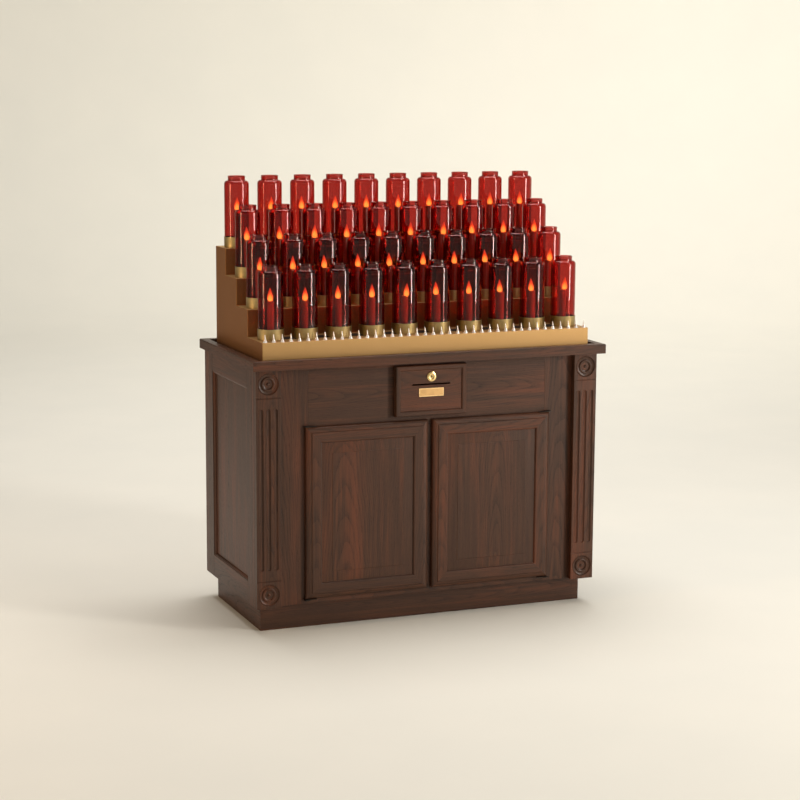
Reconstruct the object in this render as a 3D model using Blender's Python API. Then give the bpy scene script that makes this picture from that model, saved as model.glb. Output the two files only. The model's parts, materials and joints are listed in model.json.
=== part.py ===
"""Electric votive candle rack: an oak cabinet with an offering drawer and two doors, a stepped metal
rack on top, four rows of ten lamps and a rail of forty toggle switches. Metres, +Z up, front to -Y."""

import math

import bmesh
import bpy

# ---- driving dimensions ----
GAP = 0.0003                    # between pieces that rest on or meet each other

TOP_WIDTH = 1.092
TOP_DEPTH = 0.520
TOP_HEIGHT = 0.788              # upper face of the cabinet top's rim
TOP_THICKNESS = 0.028
RIM_WIDTH = 0.024
RECESS_DEPTH = 0.014

BODY_WIDTH = 1.060
BOARD = 0.020                   # sides, face frame and plinth boards
FRONT_OVERHANG = 0.046          # of the top past the face frame
PLINTH_HEIGHT = 0.075
PLINTH_WIDTH = 1.012
PLINTH_FRONT_SETBACK = 0.0265   # behind the face frame's front
PLINTH_BACK_SETBACK = 0.0355
FLOOR_THICKNESS = 0.018
BACK_THICKNESS = 0.008

SIDE_STILE = 0.078
SIDE_TOP_RAIL = 0.059
SIDE_BOTTOM_RAIL = 0.066
SIDE_FRONT_EDGE = 0.0455        # front stile of the side, behind the face frame
SIDE_RECESS = 0.008
SIDE_MOULDING = 0.006

PILASTER_WIDTH = 0.073
PILASTER_PROUD = 0.020
BLOCK_HEIGHT = 0.080            # square block with a rosette at each end of a pilaster
BLOCK_GROOVE = 0.003
FLUTE_COUNT = 3
FLUTE_PITCH = 0.021
FLUTE_WIDTH = 0.012
FLUTE_DEPTH = 0.005
FLUTE_MARGIN = 0.030            # from a block's groove to the flutes' ends
ROSETTE_RADIUS = 0.031
ROSETTE_DEPTH = 0.003

DOOR_BOTTOM = 0.090
DOOR_TOP = 0.590
DOOR_OUTER_X = 0.381
DOOR_GAP = 0.014                # between the two doors
DOOR_THICKNESS = 0.019
DOOR_STANDOFF = 0.001
DOOR_RAIL = 0.048
DOOR_EDGE_ROUND = 0.004
DOOR_MOULDING = 0.009
DOOR_PANEL_RECESS = 0.006
DOOR_AXIS_INSET = 0.003         # hinge axis, from the door's outer edge
DOOR_AXIS_DEPTH = 0.005         # hinge axis, from the door's front face
OVERLAY = 0.012                 # doors over the frame's openings
CENTRE_STILE = 0.040

DRAWER_WIDTH = 0.220
DRAWER_BOTTOM = 0.603
DRAWER_TOP = 0.750
DRAWER_LIP = 0.015
DRAWER_PANEL_RECESS = 0.004
DRAWER_OPENING_WIDTH = 0.184
DRAWER_OPENING_BOTTOM = 0.618
DRAWER_OPENING_TOP = 0.738
DRAWER_BOX_WIDTH = 0.178
DRAWER_BOX_DEPTH = 0.390
DRAWER_BOX_TOP = 0.726
DRAWER_BOX_WALL = 0.008
DRAWER_BOX_FRONT_TOP = 0.684
CRADLE_WALL = 0.010
CRADLE_CLEARANCE = 0.002
CRADLE_BACK_SPACE = 0.030

SLOT_WIDTH = 0.118
SLOT_HEIGHT = 0.0048
SLOT_Z = 0.6935
LABEL_WIDTH = 0.077
LABEL_HEIGHT = 0.0245
LABEL_THICKNESS = 0.0015
LABEL_Z = 0.6705
LOCK_Z = 0.716
LOCK_FACE_RADIUS = 0.015
LOCK_FACE_PROUD = 0.004
LOCK_SHAFT_RADIUS = 0.008
LOCK_HOLE_RADIUS = 0.0088
CAM_REACH = 0.032
CAM_WIDTH = 0.012
CAM_THICKNESS = 0.003

RACK_WIDTH = 1.012
RACK_FRONT = -0.220
RACK_BACK = 0.216
RACK_SHEET = 0.002
STEP_COUNT = 4
FIRST_TREAD_Z = 0.834
STEP_RISE = 0.078
FIRST_ROW_Y = -0.1475
STEP_RUN = 0.1035
RISER_AHEAD = 0.042             # riser, in front of its row's centre line

LAMPS_PER_ROW = 10
LAMP_PITCH = 0.1016
LAMP_SIDES = 8
STRIP_WIDTH = 0.036
STRIP_THICKNESS = 0.002
STRIP_LIFT = 0.0008
CUP_RADIUS = 0.0378
CUP_HEIGHT = 0.031
GLOBE_RADIUS = 0.0365
GLOBE_HEIGHT = 0.208
GLOBE_WALL = 0.0025
GLOBE_FLOOR = 0.006
SHOULDER_Z = 0.184
NECK_RADIUS = 0.0258
NECK_Z = 0.194
CANDLE_RADIUS = 0.010
CANDLE_TOP = 0.109
FLAME_RADIUS = 0.007
FLAME_MIDDLE = 0.120
FLAME_TOP = 0.146

TOGGLES_PER_LAMP = 4
TOGGLE_SETBACK = 0.008
TOGGLE_SIDES = 6
COLLAR_RADIUS = 0.0068
COLLAR_TOP_RADIUS = 0.0030
COLLAR_HEIGHT = 0.009
TOGGLE_BALL = 0.0022
TOGGLE_NECK_Z = 0.0006
TOGGLE_TIP_RADIUS = 0.0013
TOGGLE_LENGTH = 0.0110          # above its pivot
TOGGLE_LEAN = math.radians(13)

# ---- positions that follow from them ----
FACE_Y = -TOP_DEPTH / 2 + FRONT_OVERHANG
FRAME_BACK_Y = FACE_Y + BOARD
PILASTER_Y = FACE_Y - PILASTER_PROUD
BACK_Y = TOP_DEPTH / 2
TOP_UNDERSIDE = TOP_HEIGHT - TOP_THICKNESS
HALF_BODY = BODY_WIDTH / 2
SIDE_INNER_X = HALF_BODY - BOARD
DOOR_BACK_Y = FACE_Y - DOOR_STANDOFF
DOOR_FRONT_Y = DOOR_BACK_Y - DOOR_THICKNESS
DRAWER_PANEL_Y = DOOR_FRONT_Y + DRAWER_PANEL_RECESS
LAMP_COUNT = STEP_COUNT * LAMPS_PER_ROW
TOGGLE_COUNT = TOGGLES_PER_LAMP * LAMPS_PER_ROW
TOGGLE_PITCH = LAMP_PITCH / TOGGLES_PER_LAMP
TOGGLE_Y = RACK_FRONT + TOGGLE_SETBACK
TOGGLE_PIVOT_Z = FIRST_TREAD_Z + COLLAR_HEIGHT + GAP + TOGGLE_BALL


def clear_scene():
    for old in list(bpy.data.objects):
        bpy.data.objects.remove(old, do_unlink=True)


def material(name, colour, roughness, metallic=0.0):
    made = bpy.data.materials.new(name)
    made.use_nodes = True
    shader = made.node_tree.nodes["Principled BSDF"]
    shader.inputs["Base Color"].default_value = (*colour, 1.0)
    shader.inputs["Roughness"].default_value = roughness
    shader.inputs["Metallic"].default_value = metallic
    made.diffuse_color = (*colour, 1.0)
    return made


def node(name, bm, finish, origin=(0.0, 0.0, 0.0), smooth=False):
    """One named object from a closed bmesh, its faces turned outward."""
    bmesh.ops.recalc_face_normals(bm, faces=bm.faces)
    mesh = bpy.data.meshes.new(name)
    bm.to_mesh(mesh)
    bm.free()
    mesh.materials.append(finish)
    if smooth:
        mesh.shade_smooth()
        mesh.set_sharp_from_angle(angle=math.radians(35))
    made = bpy.data.objects.new(name, mesh)
    made.location = origin
    bpy.context.collection.objects.link(made)
    return made


def helper_shape(name, bm):
    """A shape that only cuts or joins: hidden, and drawn as wire."""
    bmesh.ops.recalc_face_normals(bm, faces=bm.faces)
    mesh = bpy.data.meshes.new(name)
    bm.to_mesh(mesh)
    bm.free()
    made = bpy.data.objects.new(name, mesh)
    made.hide_render = True
    made.display_type = "WIRE"
    bpy.context.collection.objects.link(made)
    return made


def combine(target, other, operation):
    boolean = target.modifiers.new(operation.lower(), "BOOLEAN")
    boolean.operation = operation
    boolean.solver = "EXACT"
    boolean.object = other


def add_box(bm, low, high):
    """A box from its lowest to its highest corner."""
    middle = [(a + b) / 2 for a, b in zip(low, high)]
    made = bmesh.ops.create_cube(bm, size=1.0)["verts"]
    bmesh.ops.scale(bm, vec=[b - a for a, b in zip(low, high)], verts=made)
    bmesh.ops.translate(bm, vec=middle, verts=made)


def add_tower(bm, axis, loops):
    """Rectangles (u low, u high, v low, v high, w) along an axis, bridged in order and capped."""
    place = {
        "X": lambda u, v, w: (w, u, v),
        "Y": lambda u, v, w: (u, w, v),
        "Z": lambda u, v, w: (u, v, w),
    }[axis]
    rings = []
    for u_low, u_high, v_low, v_high, w in loops:
        corners = ((u_low, v_low), (u_high, v_low), (u_high, v_high), (u_low, v_high))
        rings.append([bm.verts.new(place(u, v, w)) for u, v in corners])
    for ring, following in zip(rings, rings[1:]):
        for i in range(4):
            j = (i + 1) % 4
            bm.faces.new((ring[i], ring[j], following[j], following[i]))
    bm.faces.new(rings[0])
    bm.faces.new(rings[-1])


def add_prism(bm, axis, outline, start, end):
    """An outline of (u, v) points, extruded along an axis."""
    place = {
        "X": lambda u, v, w: (w, u, v),
        "Y": lambda u, v, w: (u, w, v),
        "Z": lambda u, v, w: (u, v, w),
    }[axis]
    near = [bm.verts.new(place(u, v, start)) for u, v in outline]
    far = [bm.verts.new(place(u, v, end)) for u, v in outline]
    for i in range(len(outline)):
        j = (i + 1) % len(outline)
        bm.faces.new((near[i], near[j], far[j], far[i]))
    bm.faces.new(near)
    bm.faces.new(far)


def add_turned(bm, axis, profile, centre, sides):
    """A turned solid: (radius, height) points from one pole to the other, about a line along an axis."""
    rings = []
    for radius, height in profile:
        count = sides if radius > 0 else 1
        ring = []
        for i in range(count):
            angle = 2 * math.pi * (i + 0.5) / sides
            across = radius * math.cos(angle)
            along = radius * math.sin(angle)
            offset = (across, along, height) if axis == "Z" else (across, height, along)
            ring.append(bm.verts.new([c + o for c, o in zip(centre, offset)]))
        rings.append(ring)
    for ring, following in zip(rings, rings[1:]):
        for i in range(sides):
            j = (i + 1) % sides
            corners = [ring[i % len(ring)], ring[j % len(ring)]]
            corners += [following[j % len(following)], following[i % len(following)]]
            bm.faces.new(list(dict.fromkeys(corners)))


def inset(loop, amount, w):
    u_low, u_high, v_low, v_high, _ = loop
    return (u_low + amount, u_high - amount, v_low + amount, v_high - amount, w)


# ---- cabinet ----
def build_base(wood):
    """Floor board, and the recessed plinth frame under it."""
    floor_x = SIDE_INNER_X - GAP
    floor_front = FRAME_BACK_Y + GAP
    floor_back = BACK_Y - BACK_THICKNESS - GAP
    plinth_x = PLINTH_WIDTH / 2
    plinth_front = FACE_Y + PLINTH_FRONT_SETBACK
    plinth_back = BACK_Y - PLINTH_BACK_SETBACK
    floor_top = (-floor_x, floor_x, floor_front, floor_back, PLINTH_HEIGHT + FLOOR_THICKNESS)
    plinth_top = (-plinth_x, plinth_x, plinth_front, plinth_back, PLINTH_HEIGHT)
    plinth_foot = inset(plinth_top, 0, 0)
    bm = bmesh.new()
    add_tower(bm, "Z", [
        floor_top,
        inset(floor_top, 0, PLINTH_HEIGHT),
        plinth_top,
        plinth_foot,
        inset(plinth_foot, BOARD, 0),
        inset(plinth_foot, BOARD, PLINTH_HEIGHT),
    ])
    return node("cabinet_base", bm, wood)


def build_side(name, direction, wood):
    """A frame-and-panel side, its panel sunk inside a small moulding."""
    inner = direction * SIDE_INNER_X
    outer = direction * HALF_BODY
    panel = direction * (HALF_BODY - SIDE_RECESS)
    low = PLINTH_HEIGHT
    high = TOP_UNDERSIDE - GAP
    front = FRAME_BACK_Y + GAP
    frame = (front, BACK_Y, low, high, inner)
    opening = (
        front + SIDE_FRONT_EDGE,
        BACK_Y - SIDE_STILE,
        low + SIDE_BOTTOM_RAIL,
        high - SIDE_TOP_RAIL,
        outer,
    )
    bm = bmesh.new()
    add_tower(bm, "X", [
        frame,
        inset(frame, 0, outer),
        opening,
        inset(opening, SIDE_MOULDING, panel),
    ])
    return node(name, bm, wood)


def build_back(wood):
    bm = bmesh.new()
    add_box(
        bm,
        (-SIDE_INNER_X + GAP, BACK_Y - BACK_THICKNESS, PLINTH_HEIGHT),
        (SIDE_INNER_X - GAP, BACK_Y - GAP, TOP_UNDERSIDE - GAP),
    )
    return node("cabinet_back", bm, wood)


def build_face_frame(wood):
    """Stiles and rails in one plane, round two door openings and the drawer opening."""
    bm = bmesh.new()
    add_box(
        bm,
        (-HALF_BODY, FACE_Y, PLINTH_HEIGHT),
        (HALF_BODY, FRAME_BACK_Y, TOP_UNDERSIDE - GAP),
    )
    frame = node("face_frame", bm, wood)
    through = (FACE_Y - BOARD, FRAME_BACK_Y + BOARD)
    cuts = bmesh.new()
    for direction in (-1, 1):
        edges = sorted((direction * CENTRE_STILE / 2, direction * (DOOR_OUTER_X - OVERLAY)))
        add_box(
            cuts,
            (edges[0], through[0], DOOR_BOTTOM + OVERLAY),
            (edges[1], through[1], DOOR_TOP - OVERLAY),
        )
    add_box(
        cuts,
        (-DRAWER_OPENING_WIDTH / 2, through[0], DRAWER_OPENING_BOTTOM),
        (DRAWER_OPENING_WIDTH / 2, through[1], DRAWER_OPENING_TOP),
    )
    combine(frame, helper_shape("face_frame_openings", cuts), "DIFFERENCE")
    return frame


def flute_outline(centre_x, low, high):
    """A slot with round ends, in (x, z)."""
    radius = FLUTE_WIDTH / 2
    steps = 4
    points = []
    for i in range(steps + 1):
        angle = math.pi * i / steps
        points.append((centre_x + radius * math.cos(angle), high - radius + radius * math.sin(angle)))
    for i in range(steps + 1):
        angle = math.pi * (1 + i / steps)
        points.append((centre_x + radius * math.cos(angle), low + radius + radius * math.sin(angle)))
    return points


def build_pilaster(name, direction, wood):
    """A flat corner column: three flutes between two square blocks, each with a turned rosette."""
    outer = direction * HALF_BODY
    inner = direction * (HALF_BODY - PILASTER_WIDTH)
    middle = (outer + inner) / 2
    low = PLINTH_HEIGHT
    high = TOP_UNDERSIDE - GAP
    bm = bmesh.new()
    add_box(bm, (min(inner, outer), PILASTER_Y, low), (max(inner, outer), FACE_Y - GAP, high))
    pilaster = node(name, bm, wood)
    cuts = bmesh.new()
    for i in range(FLUTE_COUNT):
        centre = middle + (i - (FLUTE_COUNT - 1) / 2) * FLUTE_PITCH
        outline = flute_outline(
            centre, low + BLOCK_HEIGHT + FLUTE_MARGIN, high - BLOCK_HEIGHT - FLUTE_MARGIN
        )
        add_prism(cuts, "Y", outline, PILASTER_Y - BOARD, PILASTER_Y + FLUTE_DEPTH)
    for groove in (low + BLOCK_HEIGHT, high - BLOCK_HEIGHT):
        add_box(
            cuts,
            (middle - PILASTER_WIDTH, PILASTER_Y - BOARD, groove - BLOCK_GROOVE / 2),
            (middle + PILASTER_WIDTH, PILASTER_Y + BLOCK_GROOVE, groove + BLOCK_GROOVE / 2),
        )
    for block in (low + BLOCK_HEIGHT / 2, high - BLOCK_HEIGHT / 2):
        groove_profile = [
            (0, -ROSETTE_DEPTH),
            (ROSETTE_RADIUS + ROSETTE_DEPTH, -ROSETTE_DEPTH),
            (ROSETTE_RADIUS - ROSETTE_DEPTH, ROSETTE_DEPTH),
            (ROSETTE_RADIUS / 2, ROSETTE_DEPTH),
            (ROSETTE_RADIUS / 3, -ROSETTE_DEPTH / 3),
            (0, -ROSETTE_DEPTH / 3),
        ]
        add_turned(cuts, "Y", groove_profile, (middle, PILASTER_Y, block), 16)
    combine(pilaster, helper_shape(name + "_cuts", cuts), "DIFFERENCE")
    return pilaster


def build_top(wood):
    """The overhanging top, sunk inside its rim to seat the rack."""
    outline = (-TOP_WIDTH / 2, TOP_WIDTH / 2, -TOP_DEPTH / 2, TOP_DEPTH / 2, TOP_UNDERSIDE)
    bm = bmesh.new()
    add_tower(bm, "Z", [
        outline,
        inset(outline, 0, TOP_HEIGHT),
        inset(outline, RIM_WIDTH, TOP_HEIGHT),
        inset(outline, RIM_WIDTH, TOP_HEIGHT - RECESS_DEPTH),
    ])
    return node("cabinet_top", bm, wood)


# ---- doors and offering drawer ----
def build_door(name, direction, wood):
    """A framed overlay door; its origin is on its hinge axis."""
    near = direction * DOOR_GAP / 2
    far = direction * DOOR_OUTER_X
    axis_x = direction * (DOOR_OUTER_X - DOOR_AXIS_INSET)
    axis_y = DOOR_FRONT_Y + DOOR_AXIS_DEPTH
    back = DOOR_BACK_Y - axis_y
    front = DOOR_FRONT_Y - axis_y
    outline = (min(near, far) - axis_x, max(near, far) - axis_x, DOOR_BOTTOM, DOOR_TOP, back)
    face = inset(outline, DOOR_EDGE_ROUND, front)
    bead = DOOR_RAIL - DOOR_MOULDING - DOOR_EDGE_ROUND
    bm = bmesh.new()
    add_tower(bm, "Y", [
        outline,
        inset(outline, 0, front + DOOR_EDGE_ROUND),
        face,
        inset(face, bead, front),
        inset(face, bead + DOOR_MOULDING, front + DOOR_PANEL_RECESS),
        inset(face, bead + 2 * DOOR_MOULDING, front + DOOR_PANEL_RECESS / 2),
    ])
    return node(name, bm, wood, (axis_x, axis_y, 0))


def build_drawer_front(wood):
    """The drawer's face: a raised lip round a sunk panel with the coin slot and the lock's hole."""
    outline = (-DRAWER_WIDTH / 2, DRAWER_WIDTH / 2, DRAWER_BOTTOM, DRAWER_TOP, DOOR_BACK_Y)
    bm = bmesh.new()
    add_tower(bm, "Y", [
        outline,
        inset(outline, 0, DOOR_FRONT_Y),
        inset(outline, DRAWER_LIP, DOOR_FRONT_Y),
        inset(outline, DRAWER_LIP, DRAWER_PANEL_Y),
    ])
    front = node("drawer_front", bm, wood)
    cuts = bmesh.new()
    add_box(
        cuts,
        (-SLOT_WIDTH / 2, DOOR_FRONT_Y - BOARD, SLOT_Z - SLOT_HEIGHT / 2),
        (SLOT_WIDTH / 2, DOOR_BACK_Y + BOARD, SLOT_Z + SLOT_HEIGHT / 2),
    )
    hole = [(0, -BOARD), (LOCK_HOLE_RADIUS, -BOARD), (LOCK_HOLE_RADIUS, BOARD * 2), (0, BOARD * 2)]
    add_turned(cuts, "Y", hole, (0, DOOR_FRONT_Y, LOCK_Z), 12)
    combine(front, helper_shape("drawer_front_cuts", cuts), "DIFFERENCE")
    return front


def build_drawer_box(wood):
    """An open tray behind the drawer front, low at the front so that what is put in drops into it."""
    front = DOOR_BACK_Y + GAP
    rim = (
        -DRAWER_BOX_WIDTH / 2,
        DRAWER_BOX_WIDTH / 2,
        front,
        front + DRAWER_BOX_DEPTH,
        DRAWER_BOX_TOP,
    )
    foot = DRAWER_OPENING_BOTTOM + CRADLE_CLEARANCE
    bm = bmesh.new()
    add_tower(bm, "Z", [
        inset(rim, 0, foot),
        rim,
        inset(rim, DRAWER_BOX_WALL, DRAWER_BOX_TOP),
        inset(rim, DRAWER_BOX_WALL, foot + DRAWER_BOX_WALL),
    ])
    box = node("drawer_box", bm, wood)
    cuts = bmesh.new()
    inner_x = DRAWER_BOX_WIDTH / 2 - DRAWER_BOX_WALL
    add_box(
        cuts,
        (-inner_x, front - DRAWER_BOX_WALL, DRAWER_BOX_FRONT_TOP),
        (inner_x, front + 2 * DRAWER_BOX_WALL, DRAWER_BOX_TOP + BOARD),
    )
    combine(box, helper_shape("drawer_box_cut", cuts), "DIFFERENCE")
    return box


def build_drawer_cradle(wood):
    """The trough under the cabinet top that the drawer runs in."""
    inner_x = DRAWER_OPENING_WIDTH / 2
    outer_x = inner_x + CRADLE_WALL
    floor = DRAWER_OPENING_BOTTOM
    foot = floor - CRADLE_WALL
    high = TOP_UNDERSIDE - GAP
    outline = [
        (-outer_x, foot),
        (outer_x, foot),
        (outer_x, high),
        (inner_x, high),
        (inner_x, floor),
        (-inner_x, floor),
        (-inner_x, high),
        (-outer_x, high),
    ]
    bm = bmesh.new()
    back = BACK_Y - BACK_THICKNESS - CRADLE_BACK_SPACE
    add_prism(bm, "Y", outline, FRAME_BACK_Y + GAP, back)
    return node("drawer_cradle", bm, wood)


def build_lock(brass):
    """Lock face, barrel and cam, turning about the barrel's axis; the cam lies level when unlocked."""
    face_back = DRAWER_PANEL_Y - GAP - DOOR_FRONT_Y
    face_front = face_back - LOCK_FACE_PROUD
    cam_back = FRAME_BACK_Y + 2 * CAM_THICKNESS - DOOR_FRONT_Y
    profile = [
        (0, face_front),
        (LOCK_FACE_RADIUS - LOCK_FACE_PROUD / 2, face_front),
        (LOCK_FACE_RADIUS, face_front + LOCK_FACE_PROUD / 2),
        (LOCK_FACE_RADIUS, face_back),
        (LOCK_SHAFT_RADIUS, face_back),
        (LOCK_SHAFT_RADIUS, cam_back),
        (0, cam_back),
    ]
    bm = bmesh.new()
    add_turned(bm, "Y", profile, (0, 0, 0), 12)
    lock = node("lock_plug", bm, brass, (0, DOOR_FRONT_Y, LOCK_Z), smooth=True)
    arm = bmesh.new()
    add_box(
        arm,
        (-CAM_REACH, cam_back - 1.5 * CAM_THICKNESS, -CAM_WIDTH / 2),
        (CAM_WIDTH / 4, cam_back - CAM_THICKNESS / 2, CAM_WIDTH / 2),
    )
    cam = helper_shape("lock_cam", arm)
    cam.location = lock.location
    combine(lock, cam, "UNION")
    return lock


def build_label(brass):
    back = DRAWER_PANEL_Y - GAP
    bm = bmesh.new()
    add_box(
        bm,
        (-LABEL_WIDTH / 2, back - LABEL_THICKNESS, LABEL_Z - LABEL_HEIGHT / 2),
        (LABEL_WIDTH / 2, back, LABEL_Z + LABEL_HEIGHT / 2),
    )
    return node("label_plate", bm, brass)


# ---- rack, lamps and switches ----
def row_y(row):
    return FIRST_ROW_Y + row * STEP_RUN


def tread_z(row):
    return FIRST_TREAD_Z + row * STEP_RISE


def toggle_x(index):
    return (index - (TOGGLE_COUNT - 1) / 2) * TOGGLE_PITCH


def step_outline(thickness, foot):
    """The rack's side view in (y, z), moved inward by a thickness, open downwards at foot."""
    points = [(RACK_FRONT + thickness, foot)]
    front = RACK_FRONT + thickness
    for row in range(STEP_COUNT):
        if row:
            front = row_y(row) - RISER_AHEAD + thickness
            points.append((front, tread_z(row - 1) - thickness))
        points.append((front, tread_z(row) - thickness))
    points.append((RACK_BACK - thickness, tread_z(STEP_COUNT - 1) - thickness))
    points.append((RACK_BACK - thickness, foot))
    return points


def build_rack(gold):
    """The stepped sheet-metal housing, open below, with a conical nut for each switch on its front step."""
    foot = TOP_HEIGHT - RECESS_DEPTH + GAP
    half = RACK_WIDTH / 2
    bm = bmesh.new()
    add_prism(bm, "X", step_outline(0, foot), -half, half)
    rack = node("rack_housing", bm, gold)
    hollow = bmesh.new()
    add_prism(hollow, "X", step_outline(RACK_SHEET, foot - BOARD), -half + RACK_SHEET, half - RACK_SHEET)
    combine(rack, helper_shape("rack_hollow", hollow), "DIFFERENCE")
    collars = bmesh.new()
    profile = [
        (0, -RACK_SHEET / 2),
        (COLLAR_RADIUS, -RACK_SHEET / 2),
        (COLLAR_RADIUS, 0.0008),
        (COLLAR_TOP_RADIUS, COLLAR_HEIGHT),
        (0, COLLAR_HEIGHT),
    ]
    for i in range(TOGGLE_COUNT):
        add_turned(collars, "Z", profile, (toggle_x(i), TOGGLE_Y, FIRST_TREAD_Z), TOGGLE_SIDES)
    combine(rack, helper_shape("switch_collars", collars), "UNION")
    return rack


def lamp_profile():
    """Cup, open-necked glass globe, candle tube and flame bulb, as one turned solid of real walls."""
    inner = GLOBE_RADIUS - GLOBE_WALL
    inner_neck = NECK_RADIUS - GLOBE_WALL
    return [
        (0, GAP),
        (CUP_RADIUS, GAP),
        (CUP_RADIUS, CUP_HEIGHT),
        (GLOBE_RADIUS, CUP_HEIGHT),
        (GLOBE_RADIUS, SHOULDER_Z),
        (NECK_RADIUS, NECK_Z),
        (NECK_RADIUS, GLOBE_HEIGHT),
        (inner_neck, GLOBE_HEIGHT),
        (inner_neck, NECK_Z - GLOBE_WALL),
        (inner, SHOULDER_Z - GLOBE_WALL),
        (inner, GLOBE_FLOOR),
        (CANDLE_RADIUS, GLOBE_FLOOR),
        (CANDLE_RADIUS, CANDLE_TOP),
        (FLAME_RADIUS, FLAME_MIDDLE),
        (0, FLAME_TOP),
    ]


def build_lamp_row(row, glass):
    """Ten lamps on the strip that fixes them to their step."""
    y = row_y(row)
    z = tread_z(row)
    end = (LAMPS_PER_ROW - 1) / 2 * LAMP_PITCH
    bm = bmesh.new()
    add_box(
        bm,
        (-end, y - STRIP_WIDTH / 2, z + STRIP_LIFT),
        (end, y + STRIP_WIDTH / 2, z + STRIP_LIFT + STRIP_THICKNESS),
    )
    strip = node(f"lamp_row_{row + 1}", bm, glass, smooth=True)
    lamps = bmesh.new()
    for i in range(LAMPS_PER_ROW):
        add_turned(lamps, "Z", lamp_profile(), (-end + i * LAMP_PITCH, y, z), LAMP_SIDES)
    combine(strip, helper_shape(f"lamps_{row + 1}", lamps), "UNION")
    return strip


def build_toggle(index, mesh_of, steel):
    """A switch lever; its origin is on its pivot. All forty share one mesh."""
    name = f"toggle_{index + 1:02d}"
    origin = (toggle_x(index), TOGGLE_Y, TOGGLE_PIVOT_Z)
    if mesh_of:
        made = bpy.data.objects.new(name, mesh_of.data)
        made.location = origin
        bpy.context.collection.objects.link(made)
    else:
        profile = [
            (0, -TOGGLE_BALL),
            (TOGGLE_BALL * math.cos(math.pi / 4), -TOGGLE_BALL * math.sin(math.pi / 4)),
            (TOGGLE_BALL, TOGGLE_NECK_Z),
            (TOGGLE_TIP_RADIUS, TOGGLE_LENGTH - TOGGLE_TIP_RADIUS / 2),
            (0, TOGGLE_LENGTH),
        ]
        bm = bmesh.new()
        add_turned(bm, "Z", profile, (0, 0, 0), TOGGLE_SIDES)
        made = node(name, bm, steel, origin, smooth=True)
    made.rotation_euler = (-TOGGLE_LEAN, 0, 0)
    return made


def main():
    clear_scene()
    wood = material("stained_oak", (0.060, 0.031, 0.018), 0.45)
    plain = material("plain_wood", (0.380, 0.250, 0.140), 0.50)
    gold = material("gold_paint", (0.400, 0.220, 0.070), 0.42, 0.6)
    glass = material("ruby_glass", (0.300, 0.008, 0.008), 0.10)
    brass = material("polished_brass", (0.700, 0.520, 0.240), 0.25, 1.0)
    steel = material("bright_nickel", (0.720, 0.680, 0.640), 0.22, 1.0)

    build_base(wood)
    build_side("side_panel_left", -1, wood)
    build_side("side_panel_right", 1, wood)
    build_back(wood)
    build_face_frame(wood)
    build_pilaster("pilaster_left", -1, wood)
    build_pilaster("pilaster_right", 1, wood)
    build_top(wood)
    build_door("door_left", -1, wood)
    build_door("door_right", 1, wood)
    build_drawer_front(wood)
    build_drawer_box(plain)
    build_drawer_cradle(plain)
    build_lock(brass)
    build_label(brass)
    build_rack(gold)
    for row in range(STEP_COUNT):
        build_lamp_row(row, glass)
    first = None
    for index in range(TOGGLE_COUNT):
        made = build_toggle(index, first, steel)
        first = first or made


main()
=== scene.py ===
"""Looks of an electric votive candle rack: an oak cabinet, a gold stepped rack, forty ruby lamps and
their switches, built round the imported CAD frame. Metres, +Z up, front to -Y."""

import json
import math
import random

import bmesh
import bpy
from mathutils import Matrix, Vector


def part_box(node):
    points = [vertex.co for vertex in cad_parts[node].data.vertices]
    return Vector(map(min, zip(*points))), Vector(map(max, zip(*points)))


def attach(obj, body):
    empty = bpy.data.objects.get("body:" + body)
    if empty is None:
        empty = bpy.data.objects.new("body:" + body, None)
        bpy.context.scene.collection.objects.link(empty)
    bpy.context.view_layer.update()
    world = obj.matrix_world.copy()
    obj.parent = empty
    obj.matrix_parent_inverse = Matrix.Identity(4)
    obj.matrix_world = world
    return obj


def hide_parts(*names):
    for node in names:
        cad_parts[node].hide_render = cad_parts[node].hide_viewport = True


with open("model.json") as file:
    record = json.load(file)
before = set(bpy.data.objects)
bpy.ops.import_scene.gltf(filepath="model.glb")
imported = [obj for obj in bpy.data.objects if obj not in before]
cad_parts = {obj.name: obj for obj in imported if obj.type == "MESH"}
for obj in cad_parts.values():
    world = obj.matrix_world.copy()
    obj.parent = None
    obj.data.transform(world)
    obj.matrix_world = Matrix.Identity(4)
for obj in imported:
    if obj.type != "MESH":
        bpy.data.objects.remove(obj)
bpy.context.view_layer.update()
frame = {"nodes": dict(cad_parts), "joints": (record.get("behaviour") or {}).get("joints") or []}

# ---- Studio ----
# A round room whose pale floor curves up into a warm white wall, open to a soft sky. A tall soft light
# stands at the right and a weak one at the left; three hang over the object, its front edge and the
# wall. Painted shade darkens the paper softly towards the rear left, so the object's left side reflects
# shade there.
CAMERA_PLACE = Vector((-2.268, -5.601, 1.619))
CAMERA_TURN = math.radians(-22.01)
CAMERA_DOWN = math.radians(9.47)
CAMERA_ROLL = math.radians(0.32)
CAMERA_LENS = 92.4
ROOM_RADIUS = 9.0
CURVE_RADIUS = 3.0
WALL_HEIGHT = 4.6
ROOM_SIDES = 96
FLOOR_RINGS = (3.003, 4.003, 5.003)
PALE_PAPER = ((0.80, 0.775, 0.705), (0.75, 0.735, 0.675))
SHADED_PAPER = (0.19, 0.150, 0.105)

bpy.context.scene.view_settings.view_transform = "Standard"

camera_data = bpy.data.cameras.new("camera")
camera_data.lens = CAMERA_LENS
camera_data.sensor_width = 36.0
camera = bpy.data.objects.new("camera", camera_data)
bpy.context.scene.collection.objects.link(camera)
camera.matrix_world = (
    Matrix.Translation(CAMERA_PLACE)
    @ Matrix.Rotation(CAMERA_TURN, 4, "Z")
    @ Matrix.Rotation(math.pi / 2 - CAMERA_DOWN, 4, "X")
    @ Matrix.Rotation(CAMERA_ROLL, 4, "Z")
)
bpy.context.scene.camera = camera


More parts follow.
